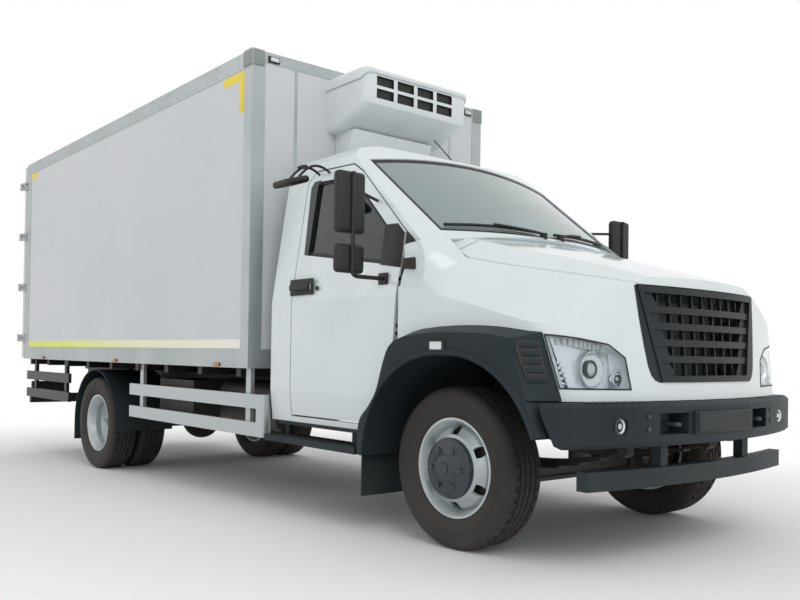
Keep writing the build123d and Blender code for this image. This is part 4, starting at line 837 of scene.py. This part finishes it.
for sideName, side in sides.items():
    vents = bmesh.new()
    low, high = vent["low"], vent["high"]
    outline = [(vent["outerLow"], low), (vent["inner"], low), (vent["inner"], high), (vent["outerHigh"], high),
               (vent["outer"], vent["cutAt"])]
    addPanel(vents, [onSide(side, flareEnd(*spot)) for spot in outline], onSide(side, vent["panelDepth"]), 1)
    pitch = (high - low) / vent["ribs"]
    for rib in range(vent["ribs"]):
        foot, top = [low + pitch * (rib + share) for share in vent["ribShare"]]
        a, b = vent["ribSpan"]
        edge = [(a, foot), (b, foot), (b, top), (a, top)]
        addPanel(vents, [onSide(side, flareEnd(*spot)) for spot in edge], onSide(side, vent["ribDepth"]))
    finishPiece("flareVents_" + sideName, vents, [slatePlastic, blackRubber], "chassis")
    sideLamp = bmesh.new()
    addSideBox(sideLamp, side, *repeater["foot"], 10, 3)
    addSideBox(sideLamp, side, *repeater["lens"], 6, 3, 1)
    finishPiece("sideRepeater_" + sideName, sideLamp, [blackRubber, clearLamp], "chassis")
print("flares dressed")

# bumper: blank plate, fog lamps, bolts, hooks and ribbed tread pads
bumper = {
    "front": 940, "bow": 3533, "plateFrame": ((944, -262, 642), (952, 262, 750)),
    "plate": ((950, -250, 652), (954, 250, 740)),
    "fog": (850, 760, 690), "fogRing": [(42, 2), (40, 7), (35, 8), (33, 2)],
    "fogBowl": [(33, 6), (30, 4), (22, -4), (10, -8), (0, -9)], "fogBulb": [(15, -4), (13, 3), (8, 6), (0, 7)],
    "boltY": 590, "boltZ": (672, 732), "bolt": [(13, 0), (12, 5), (7, 8), (0, 8)],
    "hook": [(840, 392, 690), (925, 375, 690), (925, 410, 690), (840, 400, 690)], "hookTube": 11,
    "ribs": 9, "ribFrom": 560, "ribPitch": 42, "ribWide": 30, "ribBack": (86, 20), "ribZ": (796, 801),
}


def bumperFront(y):
    return bumper["front"] - bumper["bow"] + math.sqrt(bumper["bow"] ** 2 - y * y)


dress = bmesh.new()
addBox(dress, *bumper["plateFrame"], 3)
addBox(dress, *bumper["plate"], 1.5, 1, 1)
for side in (-1, 1):
    fogSpot = onSide(side, bumper["fog"])
    for profile, steps, matIndex in (("fogRing", 32, 2), ("fogBowl", 32, 4), ("fogBulb", 24, 3)):
        addLathe(dress, bumper[profile], fogSpot, steps, "X", 1, matIndex)
    for z in bumper["boltZ"]:
        addLathe(dress, bumper["bolt"], (bumperFront(bumper["boltY"]), side * bumper["boltY"], z), 12, "X", 1, 2)
    addTube(dress, [onSide(side, point) for point in bumper["hook"]], bumper["hookTube"], 2)
    for rib in range(bumper["ribs"]):
        y = bumper["ribFrom"] + bumper["ribPitch"] * rib
        back, ahead = [bumperFront(y) - depth for depth in bumper["ribBack"]]
        low, high = bumper["ribZ"]
        addSideBox(dress, side, (back, y, low), (ahead, y + bumper["ribWide"], high), 2, 1, 2)
finishPiece("bumperDress", dress, [blackRubber, grilleAbs, hubPaint, clearLamp, mirrorBowl], "chassis")
print("bumper dressed")

# side steps: ribbed treads
tread = {"ribs": 18, "first": ((-1572, 945, 470), (-1542, 1098, 474)), "pitch": 51, "rounding": 1.5}
treads = bmesh.new()
for side in (-1, 1):
    for rib in range(tread["ribs"]):
        low, high = [Vector(corner) + Vector((tread["pitch"] * rib, 0, 0)) for corner in tread["first"]]
        addSideBox(treads, side, low, high, tread["rounding"], 1)
finishPiece("stepTreads", treads, [blackRubber], "chassis")

# marker lamps: amber at the box's foot, clear at its top front corners, each on a dark foot
marker = {"stations": (-2213, -4037, -5950), "foot": ((-45, 1120, 898), (45, 1125, 924)),
          "lens": ((-40, 1124, 901), (40, 1134, 921)), "frontFoot": ((-1796, 906, 2994), (-1784, 996, 3038)),
          "frontLens": ((-1788, 917, 3002), (-1776, 985, 3030))}
lamps = bmesh.new()
for side in (-1, 1):
    for x in marker["stations"]:
        along = Vector((x, 0, 0))
        addSideBox(lamps, side, *[along + Vector(corner) for corner in marker["foot"]], 2, 1)
        addSideBox(lamps, side, *[along + Vector(corner) for corner in marker["lens"]], 4, 3, 1)
    addSideBox(lamps, side, *marker["frontFoot"], 5)
    addSideBox(lamps, side, *marker["frontLens"], 5, 3, 2)
finishPiece("markerLamps_dressed", lamps, [blackRubber, amberLens, clearLamp], "chassis",
            ["marker_lamps"])

# rivets along the box rails, and upright joints on the front wall
rivet = {"size": (5.5, 3, 8), "rails": (2975, 3040, 912, 1006), "sideY": 1121, "first": -1830,
         "pitch": 155, "count": 31, "front": (-1795, 3036), "frontY": range(-1000, 1001, 125),
         "jointY": (-760, 760), "jointHalf": 12, "joint": ((-1800, 1024), (-1796.5, 2986))}
rivets = bmesh.new()
for side in (-1, 1):
    for z in rivet["rails"]:
        for k in range(rivet["count"]):
            addDrum(rivets, (rivet["first"] - rivet["pitch"] * k, side * rivet["sideY"], z), "Y", *rivet["size"])
for y in rivet["frontY"]:
    addDrum(rivets, (rivet["front"][0], y, rivet["front"][1]), "X", *rivet["size"])
for y in rivet["jointY"]:
    (x0, z0), (x1, z1) = rivet["joint"]
    addBox(rivets, (x0, y - rivet["jointHalf"], z0), (x1, y + rivet["jointHalf"], z1), 1, 1)
finishPiece("boxRivets", rivets, [anodised], "chassis")
print("box fittings made")

# cooling unit: a rounded moulded body under a lid, with eight recessed openings and the duct below
unit = {
    "back": -1800, "half": 490, "centre": 2790, "columns": [(-395, -235), (-205, -45), (-15, 145), (175, 335)],
    "rows": [(2768, 2838), (2856, 2926)], "recess": -16, "frame": 3, "lidOver": 9, "insetReach": (450, 190),
    "body": [(-1800, 2592), (-1700, 2592), (-1640, 2602), (-1400, 2708), (-1366, 2732), (-1354, 2768), (-1352, 2838),
             (-1352, 2856), (-1354, 2926), (-1358, 2946), (-1800, 2946)],
    "lid": [(-1800, 2932), (-1352, 2932), (-1340, 2938), (-1337, 2950), (-1345, 2966), (-1372, 2980), (-1420, 2988),
            (-1800, 2988)],
    "ends": [(0, 46), (6, 24), (20, 8), (44, 0)],
    "duct": [(-1800, 2440), (-1634, 2440), (-1574, 2602), (-1800, 2602)], "ductSpan": (-410, 350), "ductRounding": 10,
}


# slices of an outline across the truck, drawn in towards both ends so that they round off
def addSlices(bm, outline, half, cuts):
    stations = [(-half + step, inset) for step, inset in unit["ends"]] + [(y, 0) for y in cuts]
    stations += [(half - step, inset) for step, inset in reversed(unit["ends"])]
    back, centre = unit["back"], unit["centre"]
    rings = []
    for y, inset in stations:
        wide, tall = [1 - inset / reach for reach in unit["insetReach"]]
        rings.append([bm.verts.new((back + (x - back) * wide, y, centre + (z - centre) * tall)) for x, z in outline])
    for a, b in zip(rings, rings[1:]):
        for k in range(len(a)):
            bm.faces.new((a[k - 1], a[k], b[k], b[k - 1]))
    bm.faces.new(rings[0])
    bm.faces.new(list(reversed(rings[-1])))


def between(value, spans):
    return any(a < value < b for a, b in spans)


shell = bmesh.new()
addSlices(shell, unit["body"], unit["half"], [y for column in unit["columns"] for y in column])
bmesh.ops.recalc_face_normals(shell, faces=shell.faces)
mouths = []
for face in shell.faces:
    spot = face.calc_center_median()
    if face.normal.x > 0.9 and between(spot.y, unit["columns"]) and between(spot.z, unit["rows"]):
        mouths.append(face)
bmesh.ops.inset_individual(shell, faces=mouths, thickness=unit["frame"], depth=0)
walls = bmesh.ops.inset_individual(shell, faces=mouths, thickness=unit["frame"], depth=unit["recess"])["faces"]
for face in mouths + walls:
    face.material_index = 1
lid = bmesh.new()
addSlices(lid, unit["lid"], unit["half"] + unit["lidOver"], [])
joinInto(shell, lid)
ductRight, ductLeft = unit["ductSpan"]
addPanel(shell, [(x, ductRight, z) for x, z in unit["duct"]], (0, ductLeft - ductRight, 0), 0,
         unit["ductRounding"], 3)
finishPiece("coolingUnit_moulded", shell, [gelcoat, blackRubber], "chassis", ["cooling_unit"],
            toTruck, 30)

# rounded grey caps on the box's upper front corners
cap = {"low": (-1918, 1020, 2950), "high": (-1786, 1131, 3071), "rounding": 20}
caps = bmesh.new()
for side in (-1, 1):
    addSideBox(caps, side, cap["low"], cap["high"], cap["rounding"], 4)
finishPiece("cornerCaps", caps, [capPlastic], "chassis")
print("cooling unit and caps made")

# seats: cushions and backrests swelled by a short cloth run, with sewn channels, on moulded bases
seat = {
    "rows": ((430, 238), (-330, 428)), "cushion": ((-1396, 1086), (-912, 1236)), "rounding": 42,
    "back": (-1403, 1545), "backHalf": (56, 316), "lean": 9.6, "backRest": (-1, 0, -0.17),
    "voxel": 0.012, "pressure": 4.0, "frames": 20, "cap": 0.012, "fixedFrom": 0.7, "sewnFrom": -0.5,
    "channelDepth": 0.009, "channelHalf": 11.0, "sideChannel": 0.66, "benchFrom": 300, "kneeChannel": 110,
    "backChannels": (-120, 170), "floor": 851, "trayLap": 2,
    # reach behind the pad, short of its front, in from its sides and below it, and the rounding
    "plinth": (10, 30, 20, 6, 22), "tray": (14, -2, 6, 30, 12),
}


def settle(obj):
    bpy.context.view_layer.update()
    baked = bpy.data.meshes.new_from_object(obj.evaluated_get(bpy.context.evaluated_depsgraph_get()))
    obj.modifiers.clear()
    obj.data = baked


# channels are (axis, place) lines on the drawing; rests is the way the pad's flat side faces
def swellPad(name, bm, channels, rests):
    bmesh.ops.transform(bm, matrix=toTruck, verts=bm.verts)
    bmesh.ops.recalc_face_normals(bm, faces=bm.faces)
    mesh = bpy.data.meshes.new(name)
    bm.to_mesh(mesh)
    bm.free()
    obj = bpy.data.objects.new(name, mesh)
    scene.collection.objects.link(obj)
    remesh = obj.modifiers.new("remesh", "REMESH")
    remesh.mode = "VOXEL"
    remesh.voxel_size = seat["voxel"]
    settle(obj)
    start = [v.co.copy() for v in obj.data.vertices]
    normals = [v.normal.copy() for v in obj.data.vertices]
    cloth = obj.modifiers.new("cloth", "CLOTH")
    cloth.settings.use_pressure = True
    cloth.settings.uniform_pressure_force = seat["pressure"]
    cloth.settings.effector_weights.gravity = 0.0
    cloth.point_cache.frame_end = seat["frames"]
    for step in range(1, seat["frames"] + 1):
        scene.frame_set(step)
    settle(obj)
    scene.frame_set(1)
    back = toTruck.inverted()
    for vertex, first, normal in zip(obj.data.vertices, start, normals):
        move = vertex.co - first
        if move.length > seat["cap"]:
            move = move.normalized() * seat["cap"]
        if normal.dot(rests) > seat["fixedFrom"]:
            move = Vector((0, 0, 0))
        spot = back @ first
        press = max(math.exp(-((spot[axis] - at) / seat["channelHalf"]) ** 2) for axis, at in channels)
        if normal.dot(rests) < seat["sewnFrom"]:
            move -= normal * seat["channelDepth"] * press
        vertex.co = first + move
    obj.data.materials.clear()
    obj.data.materials.append(seatWeave)
    obj.data.polygons.foreach_set("use_smooth", [True] * len(obj.data.polygons))
    smooth = obj.modifiers.new("smooth", "SUBSURF")
    smooth.levels = smooth.render_levels = 1
    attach(obj, "chassis")


bases = bmesh.new()
for number, (y, half) in enumerate(seat["rows"]):
    (x0, z0), (x1, z1) = seat["cushion"]
    behind, short, narrow, below, rounding = seat["plinth"]
    addBox(bases, (x0 - behind, y - half + narrow, seat["floor"]), (x1 - short, y + half - narrow, z0 - below),
           rounding, 3)
    behind, short, narrow, below, rounding = seat["tray"]
    addBox(bases, (x0 - behind, y - half + narrow, z0 - below), (x1 - short, y + half - narrow, z0 + seat["trayLap"]),
           rounding, 3)
    lines = [(1, y)] if half > seat["benchFrom"] else []
    lines += [(1, y - half * seat["sideChannel"]), (1, y + half * seat["sideChannel"])]
    pad = bmesh.new()
    addBox(pad, (x0, y - half, z0), (x1, y + half, z1), seat["rounding"], 4)
    swellPad("seatCushion_" + str(number), pad, lines + [(0, x1 - seat["kneeChannel"])], Vector((0, 0, -1)))
    (bx, bz), (deep, tall) = seat["back"], seat["backHalf"]
    pad = bmesh.new()
    tilt = Matrix.Translation((bx, y, bz)) @ Matrix.Rotation(math.radians(-seat["lean"]), 4, "Y")
    addBox(pad, (-deep, -half, -tall), (deep, half, tall), seat["rounding"], 4, 0, tilt)
    swellPad("seatBack_" + str(number), pad, lines + [(2, bz + step) for step in seat["backChannels"]],
             Vector(seat["backRest"]).normalized())
finishPiece("seatBases", bases, [dashVinyl], "chassis", ["seats"])
print("seats made")

# rear lamps: an amber and two red lenses on a dark foot, reflectors and the plate holder
rearLamp = {"foot": ((-6584, 690, 512), (-6576, 1030, 628)), "lensX": (-6598, -6582), "lensGap": 6, "lensInset": 8,
            "lensMats": (2, 1, 1), "reflector": ((-6604, 560, 430), (-6596, 1040, 474)),
            "plate": ((-6606, -262, 392), (-6598, 262, 506))}
clusters = bmesh.new()
for side in (-1, 1):
    addSideBox(clusters, side, *rearLamp["foot"], 3)
    (_, y0, z0), (_, y1, z1) = rearLamp["foot"]
    (back, ahead), gap, inset = rearLamp["lensX"], rearLamp["lensGap"], rearLamp["lensInset"]
    wide = (y1 - y0) / len(rearLamp["lensMats"])
    for k, matIndex in enumerate(rearLamp["lensMats"]):
        addSideBox(clusters, side, (back, y0 + wide * k + gap, z0 + inset),
                   (ahead, y0 + wide * (k + 1) - gap, z1 - inset), 6, 3, matIndex)
    addSideBox(clusters, side, *rearLamp["reflector"], 2, 1, 1)
addBox(clusters, *rearLamp["plate"], 3)
finishPiece("rearLamps", clusters, [blackRubber, redLens, amberLens], "chassis")

# rear door seals: a rubber frame round each door, two red strips and the lock's turning knob
doorSeal = {"y": (8, 1106), "z": (908, 3042), "width": 22, "x": (-6714, -6708), "strips": (1000, 1060),
            "strip": ((-6713, 460, 0), (-6709, 1040, 45)), "knob": (-6742, 505, 1327), "knobSize": (16, 14, 16)}
for sideName, side in sides.items():
    seal = bmesh.new()
    (y0, y1), (z0, z1), (back, ahead) = doorSeal["y"], doorSeal["z"], doorSeal["x"]
    width = doorSeal["width"]
    for low, high in (((y0, z0), (y1, z0 + width)), ((y0, z1 - width), (y1, z1)),
                      ((y0, z0), (y0 + width, z1)), ((y1 - width, z0), (y1, z1))):
        addSideBox(seal, side, (back, *low), (ahead, *high), 2, 1)
    for z in doorSeal["strips"]:
        addSideBox(seal, side, *[Vector(corner) + Vector((0, 0, z)) for corner in doorSeal["strip"]], 1.5, 1, 1)
    addDrum(seal, onSide(side, doorSeal["knob"]), "X", *doorSeal["knobSize"])
    finishPiece("rearDoorSeal_" + sideName, seal, [blackRubber, redLens], "rear_door_" + sideName)
print("rear dressed")

# floor, light and camera
studio = {
    "floorSize": 60.0, "floorColour": "#FCFCFC", "skyStrength": 0.72, "fade": (2.2, 5.5), "fadeStretch": (0.62, 1, 1),
    "lampSize": 6.0, "key": ((10.5, -4.5, 8.0), (0.5, 0, 1.2), 260.0),
    "fill": ((-6.0, -9.0, 6.0), (-0.5, 0, 1.2), 40.0),
}
view = {"spot": (3.099, -4.081, 0.935), "azimuth": 51.64, "pitch": 1.68, "roll": 0.17, "lens": 37.81, "sensor": 36.0,
        "shift": (0.059, 0.054), "far": 200.0}


# 1 where a ray goes straight to the eye, or by metal or glass, and 0 where it lights something
def seenByEye(owner):
    rays = addNode(owner, "ShaderNodeLightPath").outputs
    bare = addNode(owner, "ShaderNodeMath", {"operation": "MAXIMUM"},
                   {0: rays["Is Camera Ray"], 1: rays["Is Glossy Ray"]})
    return addNode(owner, "ShaderNodeMath", {"operation": "MAXIMUM"},
                   {0: bare.outputs["Value"], 1: rays["Is Transmission Ray"]}).outputs["Value"]


floorMesh = bmesh.new()
bmesh.ops.create_grid(floorMesh, x_segments=1, y_segments=1, size=studio["floorSize"])
floorData = bpy.data.meshes.new("floor")
floorMesh.to_mesh(floorData)
floorMesh.free()
floor = bpy.data.objects.new("floor", floorData)
scene.collection.objects.link(floor)
# pale studio paper: keeps the shadow near the truck and runs out to plain white for the eye
paper, paperShader = newMaterial("studioPaper")
setShader(paperShader, {"Base Color": hexColour(studio["floorColour"]), "Roughness": 0.9})
paperSpot = addNode(paper, "ShaderNodeTexCoord").outputs["Object"]
narrow = addNode(paper, "ShaderNodeMapping", {"Scale": studio["fadeStretch"]}, {"Vector": paperSpot})
away = addNode(paper, "ShaderNodeVectorMath", {"operation": "LENGTH"}, {0: narrow.outputs["Vector"]})
fade = addNode(paper, "ShaderNodeMapRange", {"interpolation_type": "SMOOTHSTEP", "From Min": studio["fade"][0],
                                             "From Max": studio["fade"][1]}, {"Value": away.outputs["Value"]})
share = addNode(paper, "ShaderNodeMath", {"operation": "MULTIPLY"}, {0: fade.outputs["Result"], 1: seenByEye(paper)})
white = addNode(paper, "ShaderNodeEmission")
blend = addNode(paper, "ShaderNodeMixShader", None, {0: share.outputs["Value"], 1: paperShader.outputs["BSDF"],
                                                     2: white.outputs["Emission"]})
linkInto(paper, paper.node_tree.nodes["Material Output"], {"Surface": blend.outputs["Shader"]})
floorData.materials.append(paper)

# the sky is plain white to the eye, in metal and through glass, and dimmer as a light
world = bpy.data.worlds.new("studioSky")
scene.world = world
world.use_nodes = True
sky = world.node_tree.nodes["Background"]
setShader(sky, {"Color": (1, 1, 1, 1)})
level = addNode(world, "ShaderNodeMapRange", {"To Min": studio["skyStrength"]}, {"Value": seenByEye(world)})
linkInto(world, sky, {"Strength": level.outputs["Result"]})


def areaLamp(name, spot, target, power):
    lamp = bpy.data.lights.new(name, "AREA")
    lamp.shape = "SQUARE"
    lamp.size = studio["lampSize"]
    lamp.energy = power
    obj = bpy.data.objects.new(name, lamp)
    scene.collection.objects.link(obj)
    obj.location = spot
    obj.rotation_euler = (Vector(target) - Vector(spot)).to_track_quat("-Z", "Y").to_euler()


areaLamp("keyLamp", *studio["key"])
areaLamp("fillLamp", *studio["fill"])

camera = bpy.data.cameras.new("photoCamera")
camera.lens = view["lens"]
camera.sensor_width = view["sensor"]
camera.shift_x, camera.shift_y = view["shift"]
camera.clip_end = view["far"]
cameraObject = bpy.data.objects.new("photoCamera", camera)
scene.collection.objects.link(cameraObject)
az, el = math.radians(view["azimuth"]), math.radians(view["pitch"])
look = Vector((-math.sin(az) * math.cos(el), math.cos(az) * math.cos(el), math.sin(el)))
turn = look.to_track_quat("-Z", "Y").to_matrix().to_4x4() @ Matrix.Rotation(math.radians(view["roll"]), 4, "Z")
cameraObject.matrix_world = Matrix.Translation(Vector(view["spot"]) + Vector((axleSpot[0], 0, 0))) @ turn
scene.camera = cameraObject
scene.view_settings.view_transform = "Standard"
print("studio set")
